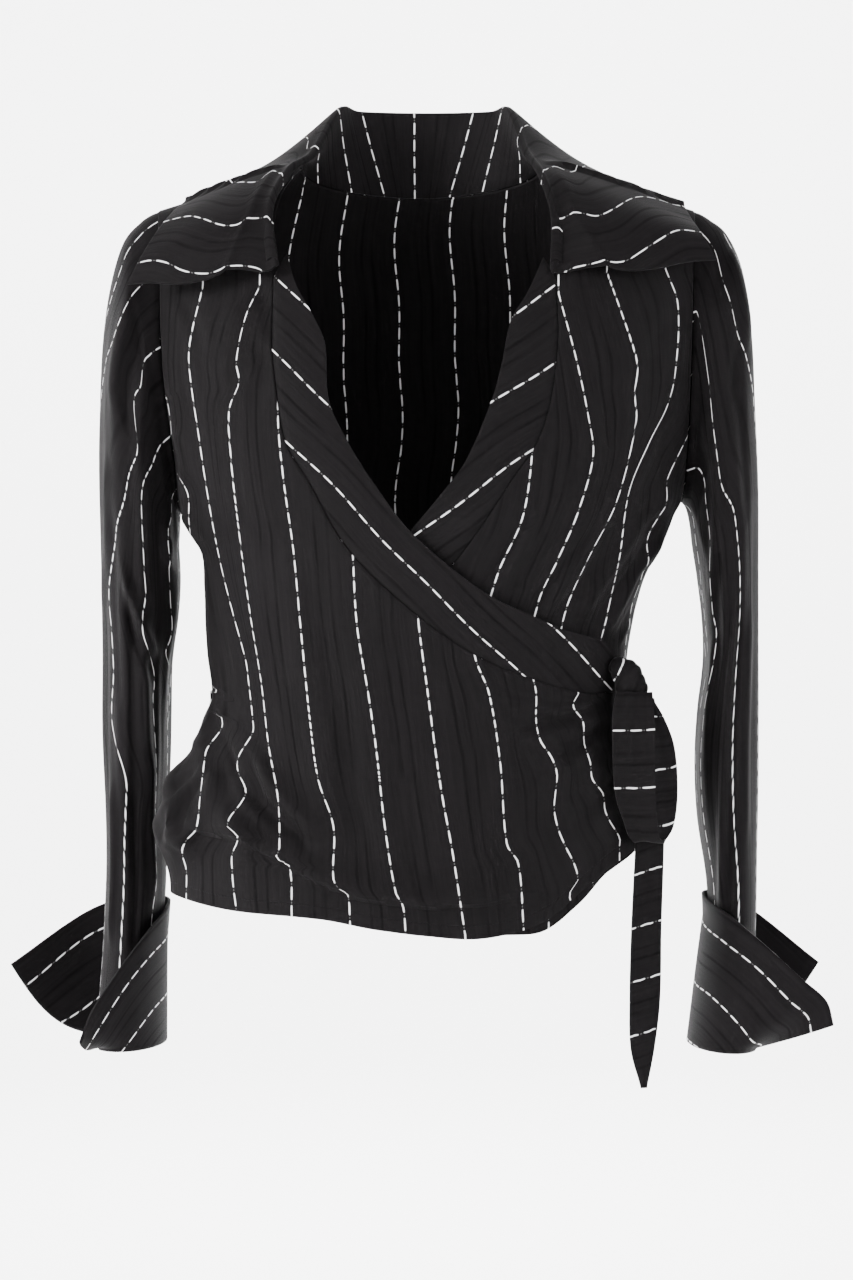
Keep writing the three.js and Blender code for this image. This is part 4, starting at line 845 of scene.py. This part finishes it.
sleeveCut = {
    "rowsFine": 12,
    "rowLong": 41,  # from one row to the next
    "left": {
        "thick": 1.6, "flat": (0.52, 0.61), "area": 0.144, "held": "hung",
        "restsOn": ["frontLeft", "backPanel"],
        # the pale lines' turns and rows
        "stripes": [
            [(36, 0), (47, 2.5), (49, 3.75), (49, 4.7), (43, 5.3), (39, 6.1), (45, 6.75), (36, 8), (30, 9),
             (30, 14)],
            [(105, 0), (105, 0.4), (83, 1.7), (73, 2.6), (71, 3.7), (73, 4.5), (85, 5.25), (87, 5.5),
             (92, 7), (88, 9), (92, 14)],
            [(150, 0), (148, 0.4), (142, 1.25), (130, 1.9), (125, 2.5), (121, 3.1), (129, 4), (140, 4.8),
             (144, 5.7), (146, 7), (148, 10), (146, 14)]],
        # outer x and z, inner x and z, middle depth, half depth of each section
        "sections": [
            (193, -19, 183, -228, 0, 50), (203, -25, 186, -231, 0, 54), (215.5, -36, 188, -236, 0, 59),
            (226, -62, 190, -246, 0, 63), (232, -105, 192, -262, 0, 66), (234, -157, 196, -284, 0, 66),
            (236, -214, 200, -312, 1, 65), (236, -272, 201, -344, 2, 63), (236, -330, 197, -380, 3, 61),
            (236, -388, 195, -418, 3, 58), (237, -444, 196, -458, 2, 56), (237, -498, 202, -502, 0, 52),
            (236, -546, 203, -544, -2, 49), (236, -584, 198, -582, -4, 48), (235, -617, 191, -615, -4, 50)],
        # turn and row of one end and the other, width in degrees, height
        "folds": [
            (36, 2, 62, 6, 15, 5), (30, 6, 44, 12, 13, 5), (100, 6, 84, 13, 15, 5),
            (140, 3, 150, 12, 18, 4), (236, 3, 246, 11, 20, 5), (306, 4, 296, 12, 18, 5)],
        "creases": [
            (18, 1.5, 40, 5, 6, 2.2), (52, 1, 70, 4, 7, 1.8), (66, 4, 58, 9, 7, 2.0),
            (120, 5, 112, 12, 8, 1.8), (20, 8, 30, 12, 7, 2.0), (84, 9, 96, 13, 6, 1.5),
            (170, 4, 164, 11, 8, 1.6), (200, 2, 210, 9, 9, 1.8), (262, 3, 270, 12, 9, 2.0),
            (330, 2, 318, 7, 8, 2.2), (344, 6, 336, 12, 7, 1.8), (286, 1, 276, 5, 9, 1.6)],
        # creases the front view shows: a line's turns and rows, its width in mm, its height at each end
        "lines": [
            ([(107, 3.0), (109, 4.4), (107, 6.0)], 12, -3.5, -2.5),
            ([(67, 1.3), (65, 4.0), (40, 5.9)], 9, 3.5, 3), ([(55, 0.8), (47, 3.5)], 10, -3, -2.5),
            ([(80, 6.5), (69, 9.8), (42, 11.6)], 8, 4.2, 4),
            ([(94, 6.7), (86, 9.8), (62, 11.8)], 10, -3, -3), ([(38, 6.5), (45, 9.0)], 8, 3, 2),
            ([(120, 7.2), (112, 10.5)], 9, 2.6, 2), ([(144, 2.1), (140, 4.0)], 10, 2.5, 2),
            ([(126, 1.2), (128, 3.6)], 8, -2.4, -1.5)]},
    "right": {
        "thick": 1.6, "flat": (0.53, 0.62), "area": 0.146, "held": "hung",
        "restsOn": ["frontRight", "backPanel"],
        "stripes": [
            [(58, 0), (59, 1.2), (65, 3), (77, 4.5), (73, 5.75), (69, 6.25), (71, 6.9), (50, 7.3),
             (47, 7.6), (51, 7.9), (45.5, 8.7), (43.5, 9.4), (43, 14)],
            [(93, 0), (93, 1), (93, 1.7), (89, 2.25), (93, 3), (83, 3.7), (95, 4.7), (101, 5.25),
             (113, 5.9), (123, 6.5), (130, 7), (125, 7.4), (121, 8), (124, 8.7), (97, 9.4), (97, 9.9),
             (101, 10.6), (101, 14)],
            [(124, 0), (121, 1.75), (119, 2.2), (121, 2.75), (127, 3.3), (150, 4.3), (163, 5.2), (166, 6.5),
             (165, 8), (160, 10), (158, 14)]],
        "sections": [
            (-193, -19, -180, -235, 0, 50), (-205.5, -27, -181, -238, 1, 54),
            (-218.5, -43, -180, -243, 2, 60), (-228, -78, -179, -252, 4, 65),
            (-233, -123, -179, -266, 6, 68), (-234, -177, -179, -286, 10, 68),
            (-233, -232, -182, -312, 15, 66), (-232, -288, -187, -344, 21, 63),
            (-232, -342, -188, -380, 27, 60), (-233, -396, -189, -420, 32, 56),
            (-233, -448, -191, -460, 34, 53), (-233, -500, -190, -502, 27, 50),
            (-234, -546, -192, -544, 16, 47), (-236, -584, -193, -582, 8, 46),
            (-237, -617, -191, -615, 4, 48)],
        "folds": [
            (48, 2, 26, 6, 15, 5), (70, 4, 58, 12, 14, 5), (118, 2, 108, 9, 16, 5),
            (160, 6, 148, 13, 16, 4), (232, 3, 240, 12, 20, 5), (300, 4, 308, 11, 18, 5)],
        "creases": [
            (30, 1, 44, 4.5, 6, 2.4), (14, 3, 24, 7, 7, 2.0), (84, 2, 78, 7, 7, 1.8),
            (96, 7, 88, 12, 7, 1.8), (134, 4, 128, 10, 8, 1.8), (40, 8, 34, 12, 6, 2.0),
            (180, 4, 172, 12, 8, 1.6), (206, 2, 214, 9, 9, 1.8), (262, 4, 270, 12, 9, 2.0),
            (326, 2, 334, 7, 8, 2.2), (342, 6, 350, 12, 7, 1.8), (284, 1, 278, 5, 9, 1.6)],
        "lines": [
            ([(104, 6.3), (77, 6.75), (42, 7.0)], 7, 4.5, 4),
            ([(100, 6.75), (77, 7.2), (50, 7.5)], 7, -3, -3), ([(67, 7.1), (63, 8.9)], 8, 3.5, 2),
            ([(83, 9.4), (77, 12.0)], 9, -3.5, -3), ([(125, 9.5), (125, 12.0)], 8, 3, 3),
            ([(55, 8.7), (45, 11.4)], 8, 3.5, 3), ([(38, 3.9), (44, 5.0)], 8, 3, 3),
            ([(105, 1.4), (103, 4.0)], 10, -3.5, -2.5), ([(115, 1.8), (121, 4.3)], 8, 3, 2.5),
            ([(125, 5.0), (136, 6.2), (150, 7.4)], 9, 3, 2), ([(118, 5.6), (108, 8.6)], 8, -2.2, -1.6)]},
}


def sleevePoint(sections, turn, row):
    # an ellipse slanted between the outer and inner points: cos turn along that line, sin turn forwards
    table = through(np.arange(len(sections)), np.array(sections, float))(row)
    outX, outZ, inX, inZ, midY, deep = np.moveaxis(table, -1, 0)
    inward, forward = np.cos(np.radians(turn)), np.sin(np.radians(turn))
    return np.stack(np.broadcast_arrays(
        (outX + inX) / 2 + (inX - outX) / 2 * inward, midY - deep * forward,
        (outZ + inZ) / 2 + (inZ - outZ) / 2 * inward), axis=-1)


def sleeveFold(folds, turn, row):
    # ridges down the sleeve: high * exp(-(turn away / wide)^2), fading past either end
    height = np.zeros(np.broadcast(turn, row).shape)
    for turn0, row0, turn1, row1, wide, high in folds:
        t = np.clip((row - row0) / (row1 - row0), 0, 1)
        away = (turn - (turn0 + (turn1 - turn0) * t) + 540) % 360 - 180
        past = np.maximum(np.maximum(row0 - row, row - row1), 0) / 1.5
        height += high * np.exp(-(away / wide) ** 2 - past ** 2)
    return height


def buildSleeve(name, node, side, sign, hemZ):
    settings = sleeveCut[side]
    arms = panelCut["armRows"]
    ring = np.linspace(0, 2 * arms, 2 * arms * fineness, endpoint=False)
    front = ring <= arms
    rowOf = panelCut["sideRows"] + np.where(front, ring, 2 * arms - ring)
    frontQ, frontZ = sideLine(side, hemZ, rowOf, -1)
    backQ, backZ = sideLine(side, hemZ, rowOf, 1)
    armhole, _ = torso(np.where(front, frontQ, backQ), np.where(front, frontZ, backZ), 0)
    count = len(settings["sections"]) - 1
    row = np.linspace(0, count, count * sleeveCut["rowsFine"] + 1)[:, None]
    turn = (ring * 180 / arms)[None, :]
    plain = sleevePoint(settings["sections"], turn, row)
    shift = armhole[None] - sleevePoint(settings["sections"], turn[0], 0.0)[None]
    grid = plain + shift * (1 - smooth(row / 4))[..., None]
    centre = plain.mean(axis=1, keepdims=True)
    away = unit((grid - centre) * np.array([2, 1, 1]))
    share = smooth(row / 3) * smooth((11 - row) / 2.5)
    folds = sleeveFold(settings["folds"], turn, row) + sleeveFold(settings["creases"], turn, row)
    rowLong = sleeveCut["rowLong"]
    lines = [([(side, -rowLong * down) for side, down in line], *rest) for line, *rest in settings["lines"]]
    folds = folds * share + 1.4 * lineHeight(lines, turn + 0 * row, -rowLong * row + 0 * turn)
    grid = grid + away * (folds - 0.7 * np.exp(-(row * 14 / 3) ** 2))[..., None]
    under = (1 + np.cos(np.radians(turn[0]))) / 2
    grid[0, :, 0] += sign * (0.1 + 0.7 * under ** 2)
    closed = np.concatenate([grid, grid[:, :1]], axis=1)
    around = alongRows(closed, 1)
    along = alongRows(closed, 0)
    column = np.arange(closed.shape[1]) * 180 / (arms * fineness)
    met = [crossing(around, column[None] - lineAt(line, row)) for line in settings["stripes"]]
    across = acrossStripes(around, met)
    beyond = (np.maximum(around - met[-1], 0) > 30) | (around < met[0] - 30)
    uv = np.stack([across + np.where(beyond, sway(along, sign), 0), along], axis=-1)
    piece = addPiece(name, [node], closed, uv, settings, flip=sign > 0)
    weld = piece.modifiers.new("seam", "WELD")
    weld.merge_threshold = 0.00001
    piece.modifiers.move(len(piece.modifiers) - 1, 0)


buildSleeve("sleeveLeft", "sleeve_left", "left", 1, leftSideZ)
buildSleeve("sleeveRight", "sleeve_right", "right", -1, rightSideZ)
print("made the sleeves")

cuffCut = {
    "around": 140, "up": 34,
    "left": {"thick": 2.0, "flat": (0.112, 0.32), "area": 0.0241, "held": "folded",
             "restsOn": ["sleeveLeft"],
             # turn round the sleeve's end, free edge's x, y and z, swell outwards, sag
             "rim": [
                 (146, 284, -66, -597, 2, 0), (134, 279, -71, -580, 4, 0), (116, 262, -76, -564, 6, 0),
                 (90, 238, -72, -542, 6, 0), (48, 214, -50, -522, 3, 0), (0, 201, -4, -512, 0, 0),
                 (-50, 212, 46, -512, 3, 0), (-94, 240, 62, -526, 5, 2), (-146, 289, 52, -565, 5, 6)]},
    "right": {"thick": 2.0, "flat": (0.111, 0.34), "area": 0.0226, "held": "folded",
              "restsOn": ["sleeveRight"],
              "rim": [
                  (138, -240, -74, -608, 5, 3), (116, -232, -74, -586, 6, 3), (84, -213, -60, -556, 5, 2),
                  (44, -195, -30, -532, 2, 0), (0, -187, 12, -520, 0, 0), (-50, -210, 72, -517, 3, 0),
                  (-96, -250, 74, -528, 4, 6), (-146, -306, 48, -566, 6, 14)]},
}


def clearOfSleeve(points, sections, gap):
    # moves points out, level, until they are that far from the ellipse of the sleeve inside them
    table = np.array(sections, float)
    outX, _, inX, _, midY, deep = np.moveaxis(through(-table[:, 1], table)(-points[..., 2]), -1, 0)
    centreX = (outX + inX) / 2
    dx, dy = points[..., 0] - centreX, points[..., 1] - midY
    angle = np.arctan2(dy, dx)
    radius = 1 / np.hypot(np.cos(angle) / (np.abs(outX - inX) / 2 + gap), np.sin(angle) / (deep + gap))
    scale = np.maximum(radius / np.hypot(dx, dy), 1)
    return np.stack([centreX + dx * scale, midY + dy * scale, points[..., 2]], axis=-1)


def buildCuff(name, node, side, sign):
    settings, sections = cuffCut[side], sleeveCut[side]["sections"]
    rim = np.array(settings["rim"], float)
    line = lineThrough(rim[:, [1, 2, 3, 0, 4, 5]])(np.linspace(0, 1, cuffCut["around"] + 1))
    x, y, z, turn, bow, drop = line.T
    end = float(len(sections) - 1)
    centre = (sleevePoint(sections, 0, end) + sleevePoint(sections, 180, end)) / 2
    foot = sleevePoint(sections, turn, end)
    out = unit((foot - centre) * np.array([1, 1, 0]))
    foot = foot + out * (settings["thick"] + 1.9)
    v = np.linspace(0, 1, cuffCut["up"] + 1)
    arch = np.sin(math.pi * v)[None, :, None]
    rimPoint = np.stack([x, y, z], axis=-1)
    points = foot[:, None] + (rimPoint - foot)[:, None] * v[None, :, None]
    points = points + out[:, None] * bow[:, None, None] * arch
    points[..., 2] -= drop[:, None] * arch[..., 0]
    gap = settings["thick"] + 1.9 + 0.3 * np.minimum(v * 3, 1)
    points = clearOfSleeve(points, sections, gap[None, :])
    lip = np.radians(np.array([150, 110, 70, 35]))  # the turn at the foot, rolled in under the sleeve's end
    roll = foot[:, None] - out[:, None] * (2.2 * (1 - np.cos(lip)))[None, :, None]
    roll[..., 2] -= (2.2 * np.sin(lip))[None, :]
    points = np.concatenate([roll, points], axis=1)
    up = alongRows(points, 1)
    toRim = up[:, -1:] - up
    along = alongRows(points, 0)
    uv = np.stack([toRim + 0.5 * sway(along, 1) - 18 + stripes["pitch"] * 3, along], axis=-1)
    edge = np.minimum(toRim, np.minimum(along, along[-1:] - along))
    addPiece(name, [node], points, uv, settings, flip=sign < 0, edge=edge)


buildCuff("cuffLeft", "cuff_left", "left", 1)
buildCuff("cuffRight", "cuff_right", "right", -1)
print("made the cuffs")

collarCut = {
    "thick": 1.7, "flat": (0.21, 0.69), "area": 0.0855, "held": "folded",
    "restsOn": ["frontRight", "frontLeft", "backPanel"],
    "fine": 10,  # grid steps for each station
    # place along the neck seam, the roll's x, y and z, the outer edge's x, y and z, swell forward and up
    "stations": [
        (0.0, -103, -90, -62, -209, -68, -79, 5, 0), (0.1, -107, -70, -24, -199, -60, -57, 5, 1),
        (0.19, -95, -32, 8, -185, -40, -31, 3, 2), (0.27, -80, -2, 24, -173, -3, -15, 0, 4),
        (0.36, -61, 40, 62, -162, 56, -32, -2, 2), (0.42, -47, 56, 62, -114, 94, -36, -5, 5),
        (0.5, 0, 68, 63, 0, 112, -40, -7, 5), (0.58, 45, 56, 62, 114, 94, -36, -5, 5),
        (0.64, 58, 40, 62, 165, 56, -32, -2, 2), (0.73, 69, -5, 26, 183, 2, -17, 0, 4),
        (0.81, 79, -42, 3, 189, -36, -31, 3, 2), (0.9, 87, -68, -28, 194, -58, -44, 5, 1),
        (1.0, 86, -86, -63, 201, -64, -58, 5, 0)],
    "crease": {"share": 0.29, "turn": 0.2, "wide": 0.035, "high": 2.2},  # the press line along the fall
    # the pale lines as steps along the collar from its end and steps out from the neck seam
    "rightStripes": [
        [(-6, 0), (-5, 12), (0, 18), (1, 21), (1, 29), (2, 37), (5, 45), (9, 51), (13, 59), (14, 64)],
        [(16, 0), (14, 10), (16, 14), (17, 21), (16, 25), (18, 31), (25, 41), (31, 50), (37, 64)],
        [(30, 0), (30, 8), (33, 12), (39, 21), (35, 24), (41, 35), (52, 52), (56, 64)],
        [(56, 0), (57, 17), (61, 19), (65, 22), (67, 25), (73, 42), (76, 64)],
        [(70, 0), (70, 10), (78, 25), (84, 42), (84, 64)], [(84, 0), (84, 10), (89, 25), (92, 42),
         (91, 64)],
        [(97, 0), (97, 20), (98, 42), (98, 64)]],
    "leftStripes": [
        [(-6, 0), (-5, 12), (0, 18), (1, 25), (3, 35), (7, 41), (13, 48), (21, 56), (24, 64)],
        [(14, 0), (14, 10), (18, 15), (21, 22), (21, 28), (27, 35), (43, 48), (50, 64)],
        [(33, 0), (34, 9), (36, 11), (45, 20), (44, 25), (59, 37), (66, 50), (68, 64)],
        [(58, 0), (60, 11), (68, 20), (69, 24), (76, 42), (79, 64)],
        [(74, 0), (76, 12), (82, 25), (86, 42), (86, 64)], [(88, 0), (89, 12), (93, 25), (94, 42),
         (94, 64)]],
    # how far each front end hangs below the last station, at shares of the way from the roll to the edge
    "hang": {"right": [9, 9, 4, 8, 8, 3, 0], "left": [13, 8, 6, 10, 9, 5, 4], "within": 26},
}


def clearOfBody(points, gap):
    # moves points up and out from the shoulders and chest, in small steps, until they are that far off
    power = torsoCut["power"]
    for step in range(60):
        x, y, z = np.moveaxis(points, -1, 0)
        depth = np.where(y < 0, frontDepth(z), backDepth(z))
        across = np.minimum(np.abs(x) / halfWidth(x, z), 1) ** power
        short = np.maximum(1 - (shoulderHeight(x) - z) / torsoCut["round"], 0)
        roundPart = np.sqrt(np.maximum(1 - short ** 2, 0))
        bodyDepth = depth * (1 - across) ** (1 / power) * roundPart
        off = np.where(short >= 1, z - shoulderHeight(x), np.abs(y) - bodyDepth)
        below = np.clip((shoulderHeight(x) - z + gap) / torsoCut["round"], 0, 1)
        outward = 0.5 * np.where(y < 0, -1, 1) * np.sqrt(below)
        move = np.stack([np.zeros_like(x), outward, 0.5 * (1 - below)], axis=-1)
        points = points + move * (off < gap)[..., None]
    return points


def buildCollar():
    settings = collarCut
    neckRows, neckColumns = panelCut["neckRows"], backCut["neckColumns"]
    count = 2 * neckRows + neckColumns
    station = np.linspace(0, count, count * settings["fine"] + 1)
    fromEnd = np.minimum(station, count - station)
    rows = panelCut["hiddenRows"] + bandRows + np.minimum(fromEnd, neckRows)
    right, left = openingLine(*overOpening, rows), openingLine(*underOpening, rows)
    behind = backTop(backCut["shoulderColumns"] + station - neckRows)
    isEnd, isRight = fromEnd <= neckRows, station <= count / 2
    q, z = (np.where(isEnd, np.where(isRight, right[k], left[k]), behind[k]) for k in (0, 1))
    foot, normal = torso(q, z, 0)
    neckward = unit(np.stack([-foot[:, 0], 20 - foot[:, 1], np.zeros(len(foot))], axis=-1))
    foot = foot + normal * 0.2 + neckward * 0.5 + np.array([0, 0, 0.1])
    stations = np.array(settings["stations"], float)
    table = through(stations[:, 0], stations[:, 1:])(station / count)
    roll, out, ahead, rise = table[:, :3], table[:, 3:6], table[:, 6], table[:, 7]
    away = unit((out - roll) * np.array([1, 1, 0]))
    up = np.array([0.0, 0.0, 1.0])
    start = roll + away * 7 - up * 4
    start = start + (foot - start) * smooth(fromEnd / neckRows)[:, None]
    profile = [start, start + (roll - start) * 0.55 + away * 0.5, roll - away * 0.6 - up * 3,
               roll + away * 2.6 + up * 0.6, roll + away * 8 - up * 2.4]
    for share in np.arange(1, 7) / 6:
        swell = math.sin(math.pi * share ** 0.8)
        point = profile[4] + (out - profile[4]) * share
        profile.append(clearOfBody(point + np.stack([0 * ahead, -ahead * swell, rise * swell], axis=-1), 3.6))
    places = np.concatenate([np.linspace(0, 4, 17)[:-1], np.linspace(4, 10, 49)])
    grid = np.moveaxis(through(np.arange(11), np.stack(profile))(places), 0, 1)
    crease = settings["crease"]
    share = np.clip((places - 4) / 6, 0, 1)
    line = crease["share"] - crease["turn"] * np.minimum(fromEnd / 2, 1)[:, None]
    ridge = crease["high"] * np.exp(-np.abs(share - line) / crease["wide"])
    ridge = ridge * smooth((6 - fromEnd) / 4)[:, None]
    grid = grid + np.array([0, -0.5, 0.85]) * ridge[..., None]
    for end, hang in ((0, settings["hang"]["right"]), (-1, settings["hang"]["left"])):
        step = unit(grid[end] - grid[16 if end == 0 else -17])
        share = np.clip((places - 3) / 7, 0, 1)
        far = through(np.linspace(0, 1, 7), hang)(share) * smooth((places - 1.5) / 1.5)
        left = station if end == 0 else count - station
        fade = np.clip(1 - left * settings["fine"] / settings["hang"]["within"], 0, 1) ** 2
        grid = grid + fade[:, None, None] * far[None, :, None] * step[None]
    along = alongRows(grid, 1)
    round0 = alongRows(grid, 0)
    place, step = np.arange(len(grid))[:, None], np.arange(grid.shape[1])[None, :]
    lines = [lineAt(line, step) for line in settings["rightStripes"]]
    lines += [len(grid) - 1 - lineAt(line, step) for line in settings["leftStripes"][::-1]]
    across = acrossStripes(round0.T, [crossing(round0.T, (place - line).T) for line in lines]).T
    uv = np.stack([across, along], axis=-1)
    edge = np.minimum(along[:, -1:] - along, np.minimum(round0, round0[-1:] - round0))
    addPiece("wideCollar", ["collar"], grid[::-1], uv[::-1], settings, edge=edge[::-1])


buildCollar()
print("made the collar")


def buildTieBack():
    settings = tieBackCut
    t = np.linspace(0, 1, 181)[:, None]
    k = np.linspace(-1, 1, 17)[None, :]
    height = through([0, 0.5, 1], [settings["startZ"], settings["midZ"], settings["endZ"]])(t)
    q = settings["startQ"] + (settings["endQ"] - 360 - settings["startQ"]) * t
    half = settings["half"] * (1 - 0.3 * smooth((t - 0.9) / 0.1))
    ruck = 0.7 * np.cos(5 * k + 7 * t) * np.cos(1.57 * k) + 0.4 * np.sin(60 * t + 3 * k)
    points, _ = torso(q + 0 * k, height + k * half, settings["lift"] + 0.6 + ruck)
    along = alongRows(points, 0)
    width = alongRows(points, 1)
    uv = np.stack([along + 0.3 * sway(width * 4), width], axis=-1)
    addPiece("tieRoundBack", ["tie_back"], points, uv, settings, flip=True,
             edge=np.minimum(width, width[:, -1:] - width))


tieCut = {
    "loop": {"thick": 1.6, "flat": (0.032, 0.23), "area": 0.0069, "held": "gathered", "restsOn": ["knot"],
             "facing": (0.97, 0.24, 0), "crossings": [28, 67.5, 119, 157, 197],
             "slant": (0.05, -0.4), "pleat": 0.5,
             # centre's x, y and z, half width
             "line": [
                 (144, -80, -364, 13), (143, -84, -377, 15), (143, -88, -402, 15.5), (144, -88, -434, 14.5),
                 (148, -84, -454, 12), (151, -78, -464, 11), (156, -71, -467, 11), (161, -69, -458, 12),
                 (162, -69, -434, 14), (160, -70, -402, 13.5), (156, -72, -382, 10), (152, -75, -369, 6)]},
    "tail": {"thick": 1.6, "flat": (0.024, 0.28), "area": 0.0062, "held": "gathered", "restsOn": ["knot"],
             "facing": (0.96, 0.28, 0), "crossings": [8.5, 47, 86, 124.5, 163, 202, 240.5, 279],
             "slant": (0.22, 0.22), "pleat": 1.5,
             "line": [
                 (152.5, -69, -368, 6), (156, -62, -396, 9), (157, -60.5, -440, 10),
                 (155.5, -60, -480, 10.5), (154, -54, -530, 10.8), (153.5, -47, -582, 11),
                 (152, -47, -616, 8.5), (153, -47, -643, 2)]},
    "knot": {"centre": (141, -70.9, -353.5), "long": 17, "deep": 10.5, "wide": 9.5, "slant": -50},
}


def buildRibbon(name, node, part, steps, gatherEnds, withPieces=()):
    # a flat ribbon along a smooth line, with pleats that fade away from its gathered ends
    settings = tieCut[part]
    t = np.linspace(0, 1, steps + 1)
    line = lineThrough(settings["line"])(t)
    facing = unit(np.array(settings["facing"], float))
    k = np.linspace(-1, 1, 21)
    points = line[:, None, :3] + facing * (line[:, None, 3:] * k[None, :, None])
    alongLine = unit(np.gradient(line[:, :3], axis=0))
    normal = unit(np.cross(facing[None], alongLine))
    near = np.exp(-(t / 0.16) ** 2) + (np.exp(-((1 - t) / 0.16) ** 2) if gatherEnds else 0)
    pleat = settings["pleat"] * np.cos(3.2 * math.pi * k)[None, :] * near[:, None]
    pleat = pleat + np.sin(2.4 * k[None, :] + 5 * t[:, None])
    points = points + normal[:, None] * (pleat * (1 - 0.4 * k ** 2))[..., None]
    along = alongRows(points, 0)
    width = alongRows(points, 1)
    slant = settings["slant"][0] + (settings["slant"][1] - settings["slant"][0]) * smooth((along - 100) / 30)
    across = acrossStripes(along + slant * width, settings["crossings"])
    uv = np.stack([across, width], axis=-1)
    addPiece(name, [node], points, uv, settings, edge=np.minimum(width, width[:, -1:] - width))


def buildKnot():
    # a rounded lump along a slanted line, with the ridges of the tie wrapped over itself
    settings = tieCut["knot"]
    steps, rings = 96, 64
    turn = np.linspace(0, 2 * math.pi, steps, endpoint=False)[None, :]
    long = np.linspace(-1, 1, rings + 1)[:, None]
    girth = (1 - np.abs(long) ** 2.6) ** 0.5
    wrap = np.cos(4.4 * long + 1.4 * np.sin(turn + 0.6) - 0.5)
    ridge = 1 + 0.10 * np.sign(wrap) * np.abs(wrap) ** 0.6 + 0.03 * np.cos(15 * long + 3 * np.cos(turn))
    ridge = ridge * (1 + 0.35 * np.maximum(-np.sin(turn), 0) * smooth((long + 0.9) / 1.2))
    across = np.sin(turn) * girth * ridge * settings["wide"]
    deep = np.cos(turn) * girth * ridge * settings["deep"]
    slant = math.radians(settings["slant"])
    run = long * settings["long"] + 0 * turn
    grid = np.stack([run * math.cos(slant) - across * math.sin(slant), -deep,
                     run * math.sin(slant) + across * math.cos(slant)], axis=-1)
    grid = grid + np.array(settings["centre"])
    piece = newObject("knot", grid * millimetre, ringFaces(rings + 1, steps), stripedCloth)
    mesh = piece.data
    uvGrid = np.stack([run + 4 * np.sin(turn) + 9, turn * 9 + 0 * run], axis=-1).reshape(-1, 2) * millimetre
    loops = np.zeros(len(mesh.loops), int)
    mesh.loops.foreach_get("vertex_index", loops)
    mesh.uv_layers.new(name="cloth").data.foreach_set("uv", uvGrid[loops].astype(np.float32).ravel())
    for label in ("edge", "stitch"):
        addNumbers(mesh, label, np.full(len(mesh.vertices), 99.0))
    weld = piece.modifiers.new("poles", "WELD")
    weld.merge_threshold = 0.00002
    declare(piece, ["tie_knot"])
    return piece


buildTieBack()
buildRibbon("tieLoop", "tie_loop", "loop", 150, True, [buildKnot()])
buildRibbon("tieTail", "tie_tail", "tail", 150, False)
print("made the tie")

studio = {
    "floorZ": -1.40, "flat": 5.5, "wall": 8.0, "top": 5.0,
    # each light's place and aim, its size and its power; the last ones light the backdrop only
    "lights": [((-3.1, -1.5, 0.7), (0, 0, -0.33), 1.3, 240), ((-1.7, -2.5, -0.9), (0, 0, -0.45), 1.2, 44),
               ((2.6, -2.0, 0.1), (0, 0, -0.33), 1.8, 84), ((-3.4, 1.2, 0.8), (0, 0, -0.33), 1.6, 70),
               ((3.4, 1.2, 0.8), (0, 0, -0.33), 1.6, 60), ((0, 3.0, 3.2), (0, 0, -0.33), 2.0, 60),
               ((0, 2.4, 2.6), (0, 8, 0), 3.0, 1500)],
    "sky": 0.8,
    "white": (0.95, 0.95, 0.95, 1),
}


def buildStudio():
    # a shallow white bowl: a flat disc whose edge curves up, turned about the vertical
    flat, wall = studio["flat"], studio["wall"]
    bend = np.linspace(0, math.pi / 2, 13)
    curve = np.stack([flat + (wall - flat) * np.sin(bend), (wall - flat) * (1 - np.cos(bend))], axis=1)
    profile = np.concatenate([[(0.0, 0.0), (flat / 2, 0.0)], curve, [(wall, studio["top"])]])
    turn = np.linspace(0, 2 * math.pi, 96, endpoint=False)
    grid = np.stack([profile[:, :1] * np.cos(turn), profile[:, :1] * np.sin(turn),
                     profile[:, 1:] + 0 * turn + studio["floorZ"]], axis=-1)
    nodes = Nodes("paleFloor")
    shader = nodes.add("ShaderNodeBsdfPrincipled", {}, {"Base Color": studio["white"], "Roughness": 0.9})
    nodes.add("ShaderNodeOutputMaterial", {}, {0: shader})
    floor = newObject("floor", grid, ringFaces(len(profile), len(turn))[:, ::-1], nodes.material)
    floor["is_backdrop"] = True

    for number, (place, aim, size, power) in enumerate(studio["lights"]):
        light = bpy.data.lights.new("softbox%d" % number, "AREA")
        light.size, light.energy = size, power
        lamp = bpy.data.objects.new(light.name, light)
        bpy.context.scene.collection.objects.link(lamp)
        lamp.location = place
        x, y, z = np.array(aim) - np.array(place)
        lamp.rotation_euler = (math.atan2(math.hypot(x, y), -z), 0, math.atan2(-x, y))
    world = bpy.data.worlds.new("sky")
    world.use_nodes = True
    world.node_tree.nodes["Background"].inputs[0].default_value = (1, 1, 1, 1)
    world.node_tree.nodes["Background"].inputs[1].default_value = studio["sky"]
    bpy.context.scene.world = world

    camera = bpy.data.objects.new("camera", bpy.data.cameras.new("camera"))
    bpy.context.scene.collection.objects.link(camera)
    camera.location = (0, -eye["distance"] * millimetre, eye["height"] * millimetre)
    camera.rotation_euler = (math.pi / 2, 0, 0)
    camera.data.lens = eye["lens"]
    bpy.context.scene.camera = camera


buildStudio()
print("made the studio")

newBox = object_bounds()
boxes = {"cad": cadBox, "visual": newBox}
for label, (low, high) in boxes.items():
    print(label, "box from", [round(part, 4) for part in low], "to", [round(part, 4) for part in high])
